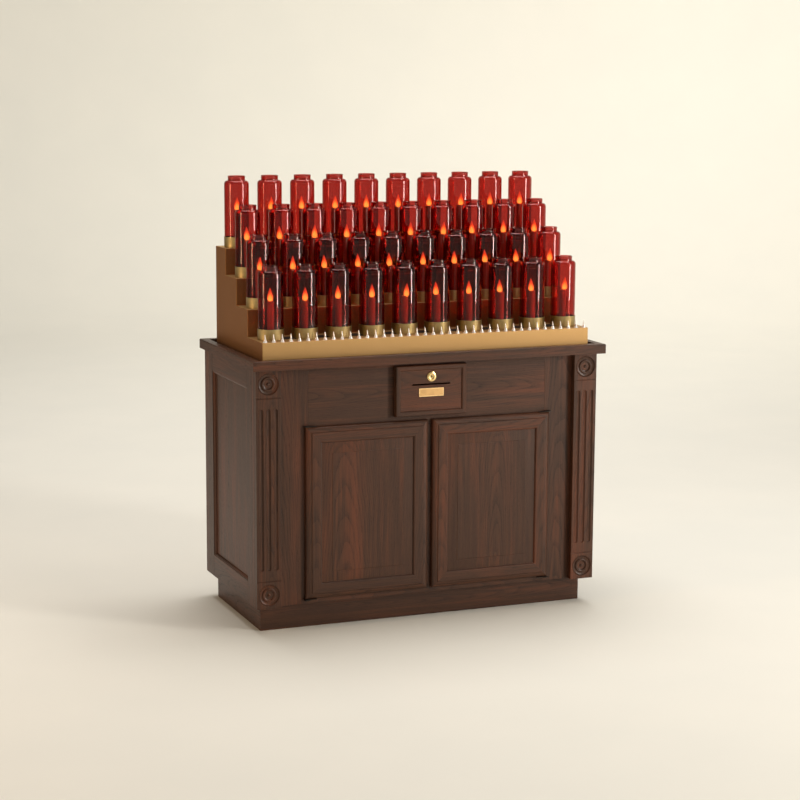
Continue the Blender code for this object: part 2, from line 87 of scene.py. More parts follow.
class Reading:
    """One output of a finish's nodes, which can be used in arithmetic."""

    def __init__(self, finish, socket):
        self.finish = finish
        self.socket = socket

    def maths(self, operation, first, second):
        return self.finish.add("ShaderNodeMath", {"operation": operation}, {0: first, 1: second})

    def __add__(self, other):
        return self.maths("ADD", self, other)

    __radd__ = __add__

    def __sub__(self, other):
        return self.maths("SUBTRACT", self, other)

    def __mul__(self, other):
        return self.maths("MULTIPLY", self, other)

    def __pow__(self, other):
        return self.maths("POWER", self, other)


class Finish:
    """A material round one Principled shader. add() makes any node; blend() mixes two colours."""

    def __init__(self, name, **surface):
        self.material = bpy.data.materials.new(name)
        self.material.use_nodes = True
        self.tree = self.material.node_tree
        self.shader = self.tree.nodes["Principled BSDF"]
        self.output = self.tree.nodes["Material Output"]
        self.surface(**surface)

    def surface(self, **values):
        """Sets or links the shader's sockets, named with underscores."""
        sockets = {socket.name.lower(): socket for socket in self.shader.inputs}
        for name, value in values.items():
            self.feed(sockets[name.replace("_", " ")], value)

    def feed(self, socket, value):
        if isinstance(value, Reading):
            self.tree.links.new(value.socket, socket)
        elif socket.type == "RGBA":
            socket.default_value = (*value, 1.0)
        else:
            socket.default_value = value

    def add(self, kind, settings=None, inputs=None, output=0):
        made = self.tree.nodes.new(kind)
        for key, value in (settings or {}).items():
            setattr(made, key, value)
        for key, value in (inputs or {}).items():
            self.feed(made.inputs[key], value)
        return Reading(self, made.outputs[output])

    def ramp(self, value, start, end, ease="LINEAR"):
        """Rises from 0 to 1 as the value goes from start to end."""
        return self.add("ShaderNodeMapRange", {"interpolation_type": ease}, {0: value, 1: start, 2: end})

    def axes(self, vector, count=3):
        """The vector's X, Y and Z, as many as are wanted."""
        return [self.add("ShaderNodeSeparateXYZ", inputs={0: vector}, output=axis) for axis in range(count)]

    def blend(self, factor, first, second):
        return self.add("ShaderNodeMix", {"data_type": "RGBA"}, {0: factor, 6: first, 7: second}, 2)

    def stretched(self, source, scale):
        return self.add("ShaderNodeVectorMath", {"operation": "MULTIPLY"}, {0: source, 1: scale})

    def noise(self, source, scale, detail=2.0, roughness=0.5):
        return self.add(
            "ShaderNodeTexNoise",
            inputs={"Vector": source, "Scale": scale, "Detail": detail, "Roughness": roughness},
        )

    def place(self):
        return self.add("ShaderNodeTexCoord", output=3)

    def bump(self, height, distance, strength):
        return self.add(
            "ShaderNodeBump", inputs={"Height": height, "Distance": distance, "Strength": strength}
        )


def put(name, work):
    """A linked object made from a bmesh, which is used up."""
    mesh = bpy.data.meshes.new(name)
    work.to_mesh(mesh)
    work.free()
    made = bpy.data.objects.new(name, mesh)
    bpy.context.scene.collection.objects.link(made)
    return made


def build_room():
    """Floor, curve and wall as one smooth turned sheet."""
    section = [(0.0, 0.0)]
    section += [(radius, 0.0) for radius in FLOOR_RINGS]
    for step in range(17):
        angle = math.pi / 2 * step / 16
        section.append(
            (ROOM_RADIUS - CURVE_RADIUS * (1 - math.sin(angle)), CURVE_RADIUS * (1 - math.cos(angle)))
        )
    section.append((ROOM_RADIUS, WALL_HEIGHT))
    sheet = bmesh.new()
    rings = []
    for radius, height in section:
        turns = [2 * math.pi * i / ROOM_SIDES for i in range(ROOM_SIDES if radius else 1)]
        rings.append([sheet.verts.new((radius * math.cos(a), radius * math.sin(a), height)) for a in turns])
    for first, second in zip(rings, rings[1:]):
        for i in range(ROOM_SIDES):
            j = (i + 1) % ROOM_SIDES
            corners = [first[i % len(first)], second[i], second[j], first[j % len(first)]]
            sheet.faces.new(list(dict.fromkeys(corners)))
    room = put("studio_room", sheet)
    room.data.shade_smooth()
    paper = Finish("studio_paper", roughness=0.9, specular_ior_level=0.2)
    place = paper.place()
    mottle = paper.noise(place, 2.5, 3.0)
    x, y = paper.axes(place, 2)
    # Painted shade: a soft dark patch on the paper to the rear left, which the gold and the oak on the
    # object's left side reflect.
    beside = x - y * 0.155 + 1.15
    past_left = paper.ramp(beside, -0.2, -3.4, "SMOOTHSTEP")
    past_back = paper.ramp(y, -0.5, 5.5, "SMOOTHSTEP")
    pale = paper.blend(mottle, *PALE_PAPER)
    paper.surface(base_color=paper.blend(past_left * past_back, pale, SHADED_PAPER))
    room.data.materials.append(paper.material)


def hang_light(name, place, target, width, height, power, colour, spread=180):
    data = bpy.data.lights.new(name, "AREA")
    data.shape = "RECTANGLE"
    data.size = width
    data.size_y = height
    data.energy = power
    data.color = colour
    data.spread = math.radians(spread)
    light = bpy.data.objects.new(name, data)
    light.location = place
    aim = Vector(target) - Vector(place)
    light.rotation_euler = aim.to_track_quat("-Z", "Y").to_euler()
    bpy.context.scene.collection.objects.link(light)


build_room()
hang_light("key_light", (3.3, -3.7, 1.7), (0, 0, 0.9), 0.8, 2.9, 158, (1.0, 0.95, 0.88))
hang_light("top_light", (0.6, 1.4, 5.6), (0.6, 1.2, 0.0), 4.2, 3.6, 235, (1.0, 0.98, 0.95))
hang_light("fill_light", (-4.2, -0.5, 1.5), (0, 0, 0.7), 0.5, 2.2, 44, (1.0, 0.67, 0.38))
hang_light("wall_light", (4.2, 3.2, 5.6), (3.6, 8.0, 0.6), 4.6, 1.4, 122, (1.0, 0.97, 0.90), 120)
hang_light("edge_light", (2.1, -1.1, 5.5), (0.6, -0.3, 0.5), 3.2, 0.4, 44, (1.0, 0.97, 0.92))
world = bpy.data.worlds.new("studio")
world.use_nodes = True
world.node_tree.nodes["Background"].inputs["Color"].default_value = (1.0, 0.95, 0.87, 1.0)
world.node_tree.nodes["Background"].inputs["Strength"].default_value = 0.22
bpy.context.scene.world = world


# ---- Cabinet base ----
# The plinth is four stained oak boards, mitred at the corners and set back under the cabinet; the
# floor of the cabinet, glued up from narrower boards, rests on it.
PLINTH_BOARD = 0.020
FLOOR_BOARDS = 4
SHARP = math.radians(32)


def extent(node, chosen=lambda point: True):
    """Lowest and highest corner of those points of a CAD node that are chosen."""
    points = [v.co for v in frame["nodes"][node].data.vertices if chosen(v.co)]
    return (
        Vector(min(p[axis] for p in points) for axis in range(3)),
        Vector(max(p[axis] for p in points) for axis in range(3)),
    )


def stained_oak(name, light, dark, red, lacquer):
    """Open-pored oak under stain and lacquer. It reads each board's own grain coordinates: along the
    grain, across the board, and away from the heart of the tree."""
    oak = Finish(name, coat_roughness=0.18, coat_weight=lacquer, specular_ior_level=0.22)
    grain = oak.add("ShaderNodeAttribute", {"attribute_name": "grain"}, output=1)
    along, across, depth = oak.axes(grain)
    sway = oak.noise(oak.stretched(grain, (2.2, 6.0, 6.0)), 1.0, 2.0) - 0.5
    wander = oak.noise(oak.stretched(grain, (9.0, 30.0, 30.0)), 1.0, 1.0) - 0.5
    across = across + sway * 0.05
    depth = depth + along * 0.045
    from_heart = (across * across + depth * depth) ** 0.5
    phase = from_heart * 270.0 + wander * 1.3
    ring = oak.add("ShaderNodeMath", {"operation": "FRACT"}, {0: phase})
    early = oak.ramp(ring, 0.55, 0.0, "SMOOTHSTEP")
    streak = oak.noise(oak.stretched(grain, (4.0, 120.0, 120.0)), 1.0, 4.0, 0.62)
    fibre = oak.noise(oak.stretched(grain, (24.0, 950.0, 950.0)), 1.0, 2.0, 0.6)
    patch = oak.noise(oak.stretched(grain, (1.6, 11.0, 11.0)), 1.0, 3.0, 0.55)
    pore_field = oak.noise(oak.stretched(grain, (75.0, 1500.0, 1500.0)), 1.0, 1.0)
    pore = oak.ramp(pore_field, 0.56, 0.66) * (early * 0.8 + 0.2)
    tone = oak.ramp(streak * 0.62 + fibre * 0.22 + patch * 0.30 - early * 0.13, 0.28, 0.80)
    warmth = oak.ramp(patch * 0.7 + streak * 0.3, 0.47, 0.64)
    body = oak.blend(tone, dark, light)
    body = oak.blend(warmth * tone, body, red)
    body = oak.blend(pore * 0.7, body, [level * 0.3 for level in dark])
    oak.surface(
        base_color=body,
        roughness=0.44 + pore * 0.25 + fibre * 0.10,
        normal=oak.bump(fibre * 0.35 - early * 0.2 - pore, 0.00018, 0.5),
    )
    return oak.material


OAK_LIGHT = (0.090, 0.0345, 0.0150)
OAK_DARK = (0.029, 0.0116, 0.0060)
OAK_RED = (0.131, 0.0355, 0.0133)
oak = stained_oak("stained_oak", OAK_LIGHT, OAK_DARK, OAK_RED, 0.20)


def arc(steps, sweep=math.pi / 2):
    """Sine and cosine at each step of an arc, leaving out its start."""
    angles = [sweep * step / steps for step in range(1, steps + 1)]
    return [(math.sin(angle), math.cos(angle)) for angle in angles]


def soften(work, edges, offset, segments=2, **choices):
    bmesh.ops.bevel(
        work, geom=edges, offset=offset, segments=segments, profile=0.5, affect="EDGES", **choices
    )


class Joinery:
    """A piece of joinery: boards laid one by one, each with its own grain."""

    def __init__(self, name):
        self.name = name
        self.work = bmesh.new()
        self.laid = 0

    def lay(self, board, along, ease=0.0008):
        """Adds a board from its own bmesh, its edges eased, its grain along the axis named."""
        bmesh.ops.recalc_face_normals(board, faces=board.faces)
        if ease:
            sharp = [e for e in board.edges if e.is_manifold and e.calc_face_angle() > math.radians(28)]
            soften(board, sharp, ease, clamp_overlap=True)
        luck = random.Random(f"{self.name} {self.laid}")
        self.laid += 1
        length = "XYZ".index(along)
        sizes = []
        for axis in range(3):
            levels = [v.co[axis] for v in board.verts]
            sizes.append((max(levels) - min(levels), (max(levels) + min(levels)) / 2))
        wide, thin = sorted((a for a in range(3) if a != length), key=lambda a: -sizes[a][0])
        start = luck.uniform(0.0, 9.0)
        off_centre = luck.uniform(-0.45, 0.45) * sizes[wide][0]
        heart = luck.uniform(0.03, 0.11) - start * 0.05
        layer = board.verts.layers.float_vector.new("grain")
        for v in board.verts:
            v[layer] = (
                v.co[length] + start,
                v.co[wide] - sizes[wide][1] + off_centre,
                v.co[thin] - sizes[thin][1] + heart,
            )
        mesh = bpy.data.meshes.new("board")
        board.to_mesh(mesh)
        board.free()
        self.work.from_mesh(mesh)
        bpy.data.meshes.remove(mesh)

    def lay_box(self, low, high, along, ease=0.0008):
        board = bmesh.new()
        add_box(board, low, high)
        self.lay(board, along, ease)

    def lay_glued(self, low, high, along, across, count):
        """A panel glued up from narrower boards, side by side."""
        step = (high[across] - low[across]) / count
        for i in range(count):
            start, end = list(low), list(high)
            start[across] = low[across] + i * step
            end[across] = low[across] + (i + 1) * step
            self.lay_box(start, end, along, 0.0004)

    def lay_mitred(self, place, along_u, along_v, edges, profile, ease=0.0005):
        """Four lengths of one moulding, mitred round a rectangle (u low, u high, v low, v high).
        The profile's points are (inward from the edge, outward from the back)."""
        u_low, u_high, v_low, v_high = edges
        corners = [
            (u_low, v_low, 1, 1),
            (u_high, v_low, -1, 1),
            (u_high, v_high, -1, -1),
            (u_low, v_high, 1, -1),
        ]
        for side in range(4):
            rail = bmesh.new()
            ends = []
            for u, v, u_in, v_in in (corners[side], corners[(side + 1) % 4]):
                ends.append([rail.verts.new(place(u + u_in * i, v + v_in * i, out)) for i, out in profile])
            for k in range(len(profile)):
                j = (k + 1) % len(profile)
                rail.faces.new((ends[0][k], ends[0][j], ends[1][j], ends[1][k]))
            rail.faces.new(ends[0])
            rail.faces.new(ends[1])
            self.lay(rail, along_v if side % 2 else along_u, ease)

    def make(self, material, body, slot, *nodes):
        keep_flat(make_piece(self.name, self.work, material, body, slot, *nodes))


def add_box(work, low, high):
    made = bmesh.ops.create_cube(work, size=1.0)["verts"]
    bmesh.ops.scale(work, vec=[b - a for a, b in zip(low, high)], verts=made)
    bmesh.ops.translate(work, vec=[(a + b) / 2 for a, b in zip(low, high)], verts=made)
    return made


def template(name, work):
    """A shaded object from a bmesh: a piece, or a shape for a jig to repeat."""
    made = put(name, work)
    made.data.shade_smooth()
    made.data.set_sharp_from_angle(angle=SHARP)
    return made


def make_piece(name, work, material, body, slot, *nodes):
    """A finished piece from a closed bmesh: shaded, riding on its body, standing for its CAD nodes."""
    made = template(name, work)
    made.data.materials.append(material)
    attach(made, body)
    if nodes:
        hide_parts(*nodes)
    return made


def keep_flat(made):
    """Keeps flat faces evenly lit up to their rounded edges."""
    made.modifiers.new("flats", "WEIGHTED_NORMAL").keep_sharp = True


plinth_low, plinth_high = extent("cabinet_base", lambda point: point.z < 0.001)
floor_low, floor_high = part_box("cabinet_base")
plinth_top = extent("cabinet_base", lambda point: 0.001 < point.z < floor_high.z - 0.001)[0].z
base = Joinery("cabinet_base_boards")
base.lay_mitred(
    lambda u, v, out: (u, v, out),
    "X",
    "Y",
    (plinth_low.x, plinth_high.x, plinth_low.y, plinth_high.y),
    [(0, 0), (0, plinth_top), (PLINTH_BOARD, plinth_top), (PLINTH_BOARD, 0)],
)
base.lay_glued((floor_low.x, floor_low.y, plinth_top), floor_high, "X", 1, FLOOR_BOARDS)
base.make(oak, "cabinet", "stained_oak", "cabinet_base")


# ---- Cabinet sides ----
# Each side is a frame of two stiles and two rails round a thin oak panel, sunk behind a small ovolo
# moulding that is mitred at its corners.
SIDE_PANEL_THICKNESS = 0.006
SIDE_MOULDING = 0.007
PANEL_TONGUE = 0.006

for label, direction in (("left", -1), ("right", 1)):
    node = f"side_panel_{label}"
    low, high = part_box(node)
    outer_x = direction * max(abs(low.x), abs(high.x))
    inner_x = direction * min(abs(low.x), abs(high.x))
    panel_low, panel_high = extent(
        node, lambda point: abs(inner_x) + 0.001 < abs(point.x) < abs(outer_x) - 0.001
    )
    panel_x = panel_low.x
    hole = (
        panel_low.y - PANEL_TONGUE,
        panel_high.y + PANEL_TONGUE,
        panel_low.z - PANEL_TONGUE,
        panel_high.z + PANEL_TONGUE,
    )
    side = Joinery(f"cabinet_side_{label}")
    thick = sorted((inner_x, outer_x))
    for y_low, y_high in ((low.y, hole[0]), (hole[1], high.y)):
        side.lay_box((thick[0], y_low, low.z), (thick[1], y_high, high.z), "Z")
    for z_low, z_high in ((low.z, hole[2]), (hole[3], high.z)):
        side.lay_box((thick[0], hole[0], z_low), (thick[1], hole[1], z_high), "Y")
    panel_back = panel_x - direction * SIDE_PANEL_THICKNESS
    panel = sorted((panel_back, panel_x))
    side.lay_box((panel[0], hole[0], hole[2]), (panel[1], hole[1], hole[3]), "Z", 0)
    fall = abs(outer_x) - abs(panel_x)
    ovolo = [(0, -0.001), (0, fall * 0.75)]
    ovolo += [(SIDE_MOULDING * sine, fall * 0.75 * cosine) for sine, cosine in arc(6)]
    ovolo[-1] = (SIDE_MOULDING, 0.0003)
    ovolo.append((SIDE_MOULDING, -0.001))
    side.lay_mitred(
        lambda u, v, out, x=panel_x, d=direction: (x + d * out, u, v), "Y", "Z", hole, ovolo, 0
    )
    side.make(oak, "cabinet", "stained_oak", node)


# ---- Cabinet back ----
# A plain thin panel of upright boards let in between the sides, held by a row of countersunk screws
# along each of its four edges.
BACK_BOARDS = 7
SCREW_SPACING = 0.16
SCREW_MARGIN = 0.012
SCREW_RADIUS = 0.0035


class Jig:
    """A Geometry Nodes tree with named sizes. add() makes any node; run() gives the finished mesh."""

    def __init__(self, name, **sizes):
        self.tree = bpy.data.node_groups.new(name, "GeometryNodeTree")
        self.kinds = {int: "NodeSocketInt", float: "NodeSocketFloat", tuple: "NodeSocketVector"}
        self.slots = {}
        self.sizes = sizes
        for label, value in sizes.items():
            made = self.tree.interface.new_socket(
                label, in_out="INPUT", socket_type=self.kinds[type(value)]
            )
            self.slots[label] = made.identifier
        self.tree.interface.new_socket("Geometry", in_out="OUTPUT", socket_type="NodeSocketGeometry")
        self.entry = self.tree.nodes.new("NodeGroupInput")
        self.exit = self.tree.nodes.new("NodeGroupOutput")

    def size(self, label):
        return self.entry.outputs[label]

    def add(self, kind, settings=None, inputs=None, output=0):
        made = self.tree.nodes.new(kind)
        for key, value in (settings or {}).items():
            setattr(made, key, value)
        for key, value in (inputs or {}).items():
            if isinstance(value, bpy.types.NodeSocket):
                self.tree.links.new(value, made.inputs[key])
            else:
                made.inputs[key].default_value = value
        return made.outputs[output]

    def stand(self, points, shape, **how):
        """The template at every point. Its object can go once the jig has run."""
        held = self.add("GeometryNodeObjectInfo", inputs={0: shape}, output=4)
        return self.add("GeometryNodeInstanceOnPoints", inputs={"Points": points, "Instance": held, **how})

    def run(self, name, geometry, material, **changed):
        """Realizes the geometry, gives it its material and returns a plain mesh object."""
        real = self.add("GeometryNodeRealizeInstances", inputs={0: geometry})
        done = self.add("GeometryNodeSetMaterial", inputs={0: real, 2: material})
        self.tree.links.new(done, self.exit.inputs[0])
        seed = bpy.data.objects.new(name, bpy.data.meshes.new(name))
        bpy.context.scene.collection.objects.link(seed)
        layer = seed.modifiers.new("jig", "NODES")
        layer.node_group = self.tree
        for label, value in {**self.sizes, **changed}.items():
            layer[self.slots[label]] = value
        bpy.context.view_layer.update()
        graph = bpy.context.evaluated_depsgraph_get()
        mesh = bpy.data.meshes.new_from_object(seed.evaluated_get(graph))
        seed.modifiers.remove(layer)
        seed.data = mesh
        mesh.name = name
        return seed


def add_turned(work, profile, sides, centre=(0, 0, 0), axis="Z", ring=False):
    """A turned shape from (radius, height) points; a ring's profile closes on itself."""
    rings = []
    for radius, height in profile:
        count = sides if radius > 0 else 1
        points = []
        for i in range(count):
            angle = 2 * math.pi * i / sides
            across, along = radius * math.cos(angle), radius * math.sin(angle)
            offset = (across, height, along) if axis == "Y" else (across, along, height)
            points.append(work.verts.new([c + o for c, o in zip(centre, offset)]))
        rings.append(points)
    if ring:
        rings.append(rings[0])
    faces = []
    for first, second in zip(rings, rings[1:]):
        for i in range(sides if len(first) + len(second) > 2 else 0):
            j = (i + 1) % sides
            corners = [first[i % len(first)], first[j % len(first)]]
            corners += [second[j % len(second)], second[i % len(second)]]
            faces.append(work.faces.new(list(dict.fromkeys(corners))))
    bmesh.ops.recalc_face_normals(work, faces=faces)
    return faces


def metal(name, colour, roughness, tarnish=0.25, grit=900.0):
    """Bare or plated metal, with faint polishing marks and a little tarnish."""
    made = Finish(name, metallic=1.0)
    place = made.place()
    marks = made.noise(made.stretched(place, (1.0, 1.0, 6.0)), grit, 2.0, 0.6)
    cloud = made.noise(place, 55.0, 3.0)
    dull = made.ramp(cloud, 0.42, 0.72)
    made.surface(
        base_color=made.blend(dull * tarnish, colour, [level * 0.45 for level in colour]),
        roughness=roughness + marks * 0.08 + dull * tarnish * 0.3,
        normal=made.bump(marks, 0.00004, 0.4),
    )
    return made.material


steel = metal("zinc_plated_steel", (0.50, 0.48, 0.44), 0.30)

back_low, back_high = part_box("cabinet_back")
back = Joinery("cabinet_back_boards")
back.lay_glued(back_low, back_high, "Z", 0, BACK_BOARDS)
back.make(oak, "cabinet", "stained_oak", "cabinet_back")

screw_head = bmesh.new()
add_turned(
    screw_head,
    [(0, 0.0004), (SCREW_RADIUS, 0.0004), (SCREW_RADIUS, 0.0001), (SCREW_RADIUS * 0.9, 0), (0, 0)],
    16,
    axis="Y",
)
for turn in (0, 1):
    slot_size = (SCREW_RADIUS * 0.72, 0.0004)
    half = (slot_size[turn], slot_size[1 - turn])
    add_box(screw_head, (-half[0], -0.00001, -half[1]), (half[0], 0.00009, half[1]))
screw = template("screw_shape", screw_head)
screws = Jig("back_screws", across=4, up=5, width=1.0, height=1.0, place=(0.0, 0.0, 0.0))
grid = screws.add(
    "GeometryNodeMeshGrid",
    inputs={
        "Size X": screws.size("width"),
        "Size Y": screws.size("height"),
        "Vertices X": screws.size("across"),
        "Vertices Y": screws.size("up"),
    },
)
rim_only = screws.add("GeometryNodeInputMeshEdgeNeighbors")
upright = screws.add(
    "GeometryNodeTransform",
    inputs={"Geometry": grid, "Translation": screws.size("place"), "Rotation": (math.pi / 2, 0, 0)},
)
edge_points = screws.add(
    "FunctionNodeCompare",
    {"data_type": "INT", "operation": "EQUAL"},
    {2: rim_only, 3: 1},
)
kept = screws.add("GeometryNodeSeparateGeometry", {"domain": "POINT"}, {0: upright, 1: edge_points})
placed = screws.stand(kept, screw)
back_width = back_high.x - back_low.x - 2 * SCREW_MARGIN
back_height = back_high.z - back_low.z - 2 * SCREW_MARGIN
back_screws = screws.run(
    "cabinet_back_screws",
    placed,
    steel,
    across=round(back_width / SCREW_SPACING) + 1,
    up=round(back_height / SCREW_SPACING) + 1,
    width=back_width,
    height=back_height,
    place=((back_low.x + back_high.x) / 2, back_high.y - 0.0002, (back_low.z + back_high.z) / 2),
)
bpy.data.objects.remove(screw)
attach(back_screws, "cabinet")


# ---- Face frame ----
# Stiles and rails of stained oak in one plane: two wide outer stiles, a deep top rail cut out for the
# drawer, a low bottom rail and a narrow stile behind the gap between the doors.
frame_low, frame_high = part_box("face_frame")
doors_hole = extent("face_frame", lambda point: abs(point.x) < frame_high.x - 0.001 and point.z < 0.6)
drawer_hole = extent("face_frame", lambda point: 0.6 < point.z < frame_high.z - 0.001)
CENTRE_STILE = 0.020


def add_outline(work, edges, y):
    """The corners of a rectangle that faces the front; its edges are left, right, bottom and top."""
    left, right, bottom, top = edges
    corners = ((left, bottom), (right, bottom), (right, top), (left, top))
    return [work.verts.new((x, y, z)) for x, z in corners]


def join_outlines(work, first, second):
    for i in range(4):
        j = (i + 1) % 4
        work.faces.new((first[i], first[j], second[j], second[i]))


def lay_cut_board(work, edges, hole, y_range, along):
    """A board that faces the front, with a rectangular hole through it."""
    board = bmesh.new()
    outer_front, outer_back = [add_outline(board, edges, y) for y in y_range]
    inner_front, inner_back = [add_outline(board, hole, y) for y in y_range]
    join_outlines(board, outer_front, outer_back)
    join_outlines(board, inner_front, inner_back)
    join_outlines(board, outer_front, inner_front)
    join_outlines(board, outer_back, inner_back)
    work.lay(board, along)


face = Joinery("face_frame_boards")
y_low, y_high = frame_low.y, frame_high.y
for x_low, x_high in ((frame_low.x, doors_hole[0].x), (doors_hole[1].x, frame_high.x)):
    face.lay_box((x_low, y_low, frame_low.z), (x_high, y_high, frame_high.z), "Z", 0.0005)
face.lay_box((doors_hole[0].x, y_low, frame_low.z), (doors_hole[1].x, y_high, doors_hole[0].z), "X")
face.lay_box((-CENTRE_STILE, y_low, doors_hole[0].z), (CENTRE_STILE, y_high, doors_hole[1].z), "Z")
top_rail = (doors_hole[0].x, doors_hole[1].x, doors_hole[1].z, frame_high.z)
drawer_edges = (drawer_hole[0].x, drawer_hole[1].x, drawer_hole[0].z, drawer_hole[1].z)
lay_cut_board(face, top_rail, drawer_edges, (y_low, y_high), "X")
face.make(oak, "cabinet", "stained_oak", "face_frame")


# ---- Pilasters ----
# A flat oak column planted on each front corner. Three round-ended flutes are routed between two
# square blocks, which grooves mark off, and a turned bull's-eye rosette is let into each block.
FLUTE_COUNT = 3
FLUTE_PITCH = 0.0215
FLUTE_CUTTER = 0.0066
FLUTE_LIFT = 0.0026
BLOCK = 0.080
FLUTE_MARGIN = 0.030
GROOVE = 0.0018
ROSETTE = 0.0305
ROSETTE_SIDES = 56
SEAT_DEPTH = 0.0046


def cut_board(solid, cutters):
    """The solid with the cutters taken out of it, as a new bmesh."""
    objects = []
    for name, work in (("solid", solid), ("cutters", cutters)):
        bmesh.ops.recalc_face_normals(work, faces=work.faces)
        objects.append(put(name, work))
    cut = objects[0].modifiers.new("cut", "BOOLEAN")
    cut.operation = "DIFFERENCE"
    cut.solver = "EXACT"
    cut.object = objects[1]
    bpy.context.view_layer.update()
    result = bmesh.new()
    result.from_object(objects[0], bpy.context.evaluated_depsgraph_get())
    for made in objects:
        bpy.data.objects.remove(made)
    return result


def add_capsule(work, centre_x, centre_y, low, high, radius, sides=28):
    """A round-ended router pass along Z."""
    end = [(radius * sine, radius * (1 - cosine)) for sine, cosine in arc(6)]
    profile = [(0, low)] + [(out, low + along) for out, along in end]
    profile += [(out, high - along) for out, along in reversed(end)] + [(0, high)]
    add_turned(work, profile, sides, (centre_x, centre_y, 0))


def rosette_profile(radius):
    """(radius, height above its seat) from the rim to the centre: cove, ring, sunk field and button."""
    rim, cove, ring, field, button = radius - 0.0005, radius - 0.0095, radius - 0.0170, 0.0092, 0.0050
    middle = (cove + ring) / 2
    bead = (cove - ring) / 2
    points = [(radius, -0.004), (radius, 0.0040), (rim, SEAT_DEPTH)]
    points += [(rim - (rim - cove) * (1 - cosine), SEAT_DEPTH - 0.0038 * sine) for sine, cosine in arc(8)]
    points += [(middle + bead * cosine, 0.0008 + 0.0036 * sine) for sine, cosine in arc(9, math.pi)[:-1]]
    points += [(ring, 0.0006), (field, -0.0010), (button + 0.0004, -0.0012)]
    points += [(button * cosine, -0.0012 + 0.0042 * sine) for sine, cosine in arc(5)]
    points[-1] = (0, 0.0030)
    return points


for label in ("left", "right"):
    node = f"pilaster_{label}"
    low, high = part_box(node)
    middle = (low.x + high.x) / 2
    solid = bmesh.new()
    add_box(solid, low, high)
    soften(solid, solid.edges[:], 0.0009)
    cutters = bmesh.new()
    for i in range(FLUTE_COUNT):
        flute_x = middle + (i - (FLUTE_COUNT - 1) / 2) * FLUTE_PITCH
        flute_low, flute_high = low.z + BLOCK + FLUTE_MARGIN, high.z - BLOCK - FLUTE_MARGIN
        add_capsule(cutters, flute_x, low.y - FLUTE_LIFT, flute_low, flute_high, FLUTE_CUTTER)
    for groove_z in (low.z + BLOCK, high.z - BLOCK):
        wedge = bmesh.ops.create_cone(
            cutters, segments=12, radius1=GROOVE, radius2=GROOVE, depth=0.2, cap_ends=True
        )["verts"]
        bmesh.ops.rotate(cutters, verts=wedge, matrix=Matrix.Rotation(math.pi / 2, 3, "Y"))
        bmesh.ops.translate(cutters, verts=wedge, vec=(middle, low.y, groove_z))
    blocks = [low.z + BLOCK / 2, high.z - BLOCK / 2]
    for block_z in blocks:
        seat = ROSETTE + 0.0004
        hollow = [(0, -0.01), (seat, -0.01), (seat, SEAT_DEPTH), (0, SEAT_DEPTH)]
        add_turned(cutters, hollow, ROSETTE_SIDES, (middle, low.y, block_z), "Y")
    column = Joinery(node + "_column")
    column.lay(cut_board(solid, cutters), "Z", 0)
    for block_z in blocks:
        rosette = bmesh.new()
        profile = [(r, -h) for r, h in rosette_profile(ROSETTE)]
        profile.insert(0, (0, 0.004))
        add_turned(rosette, profile, ROSETTE_SIDES, (middle, low.y + SEAT_DEPTH, block_z), "Y")
        column.lay(rosette, "Z", 0)
    column.make(oak, "cabinet", "stained_oak", node)


# ---- Cabinet top ----
# The top is a frame of four mitred boards that overhangs the cabinet; it stands up as a rim round a
# sunk panel, on which the rack sits with a narrow gap all round.
top_low, top_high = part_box("cabinet_top")
seat_low, seat_high = extent("cabinet_top", lambda point: top_low.z + 0.001 < point.z < top_high.z - 0.001)
RIM_ROUND = 0.003
rim_width = seat_low.x - top_low.x
rim_thick = top_high.z - top_low.z
rim_profile = [(0, 0), (0, rim_thick - RIM_ROUND)]
rim_profile += [(RIM_ROUND * (1 - cosine), rim_thick - RIM_ROUND * (1 - sine)) for sine, cosine in arc(4)]
rim_profile += [(rim_width, rim_thick), (rim_width, 0)]
top = Joinery("cabinet_top_boards")
top.lay_mitred(
    lambda u, v, out: (u, v, top_low.z + out),
    "X",
    "Y",
    (top_low.x, top_high.x, top_low.y, top_high.y),
    rim_profile,
)
top.lay_glued((seat_low.x, seat_low.y, top_low.z), seat_high, "X", 1, 4)
top.make(oak, "cabinet", "stained_oak", "cabinet_top")


# ---- Doors ----
# Two overlay doors: a mitred oak frame with a stepped thumbnail edge and a small moulding round a raised
# panel. They have no pulls, and turn on blackened pivot plates at their top and bottom edges.
DOOR_FRAME = 0.048
FIELD_MARGIN = 0.030
PANEL_DROP = 0.005
PIVOT_PLATE = 0.0010
PIVOT_GAP = 0.0005
PIVOT_PIN = 0.0018
face_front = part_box("face_frame")[0].y
# Blackened steel: the pivots' own finish, and painted shade where it covers the lamp strips and the keyway.
blackened = metal("blackened_steel", (0.055, 0.045, 0.038), 0.50)


def add_plate(work, edges, steps):
    """A plate that faces the front. Each step from its back draws the outline in and sets its y."""
    left, right, bottom, top = edges
    rings = []
    for inset, y in steps:
        rings.append(add_outline(work, (left + inset, right - inset, bottom + inset, top - inset), y))
    for first, second in zip(rings, rings[1:]):
        join_outlines(work, first, second)
    work.faces.new(rings[0])
    work.faces.new(rings[-1])


def door_profile(thick):
    """Section of the door frame, from its outer edge to the panel."""
    points = [(0, 0), (0, 0.0062)]
    points += [(0.0155 * (1 - cosine), 0.0062 + 0.0100 * sine) for sine, cosine in arc(8)]
    points += [(0.0162, thick - 0.0016), (0.0172, thick - 0.0004), (0.0188, thick)]
    points += [(0.0425, thick), (0.0436, thick - 0.0004)]
    points += [(0.0436 + 0.0026 * sine, thick - 0.0004 - 0.0034 * (1 - cosine)) for sine, cosine in arc(4)]
    return points + [(0.0466, thick - PANEL_DROP), (DOOR_FRAME, thick - PANEL_DROP), (DOOR_FRAME, 0)]


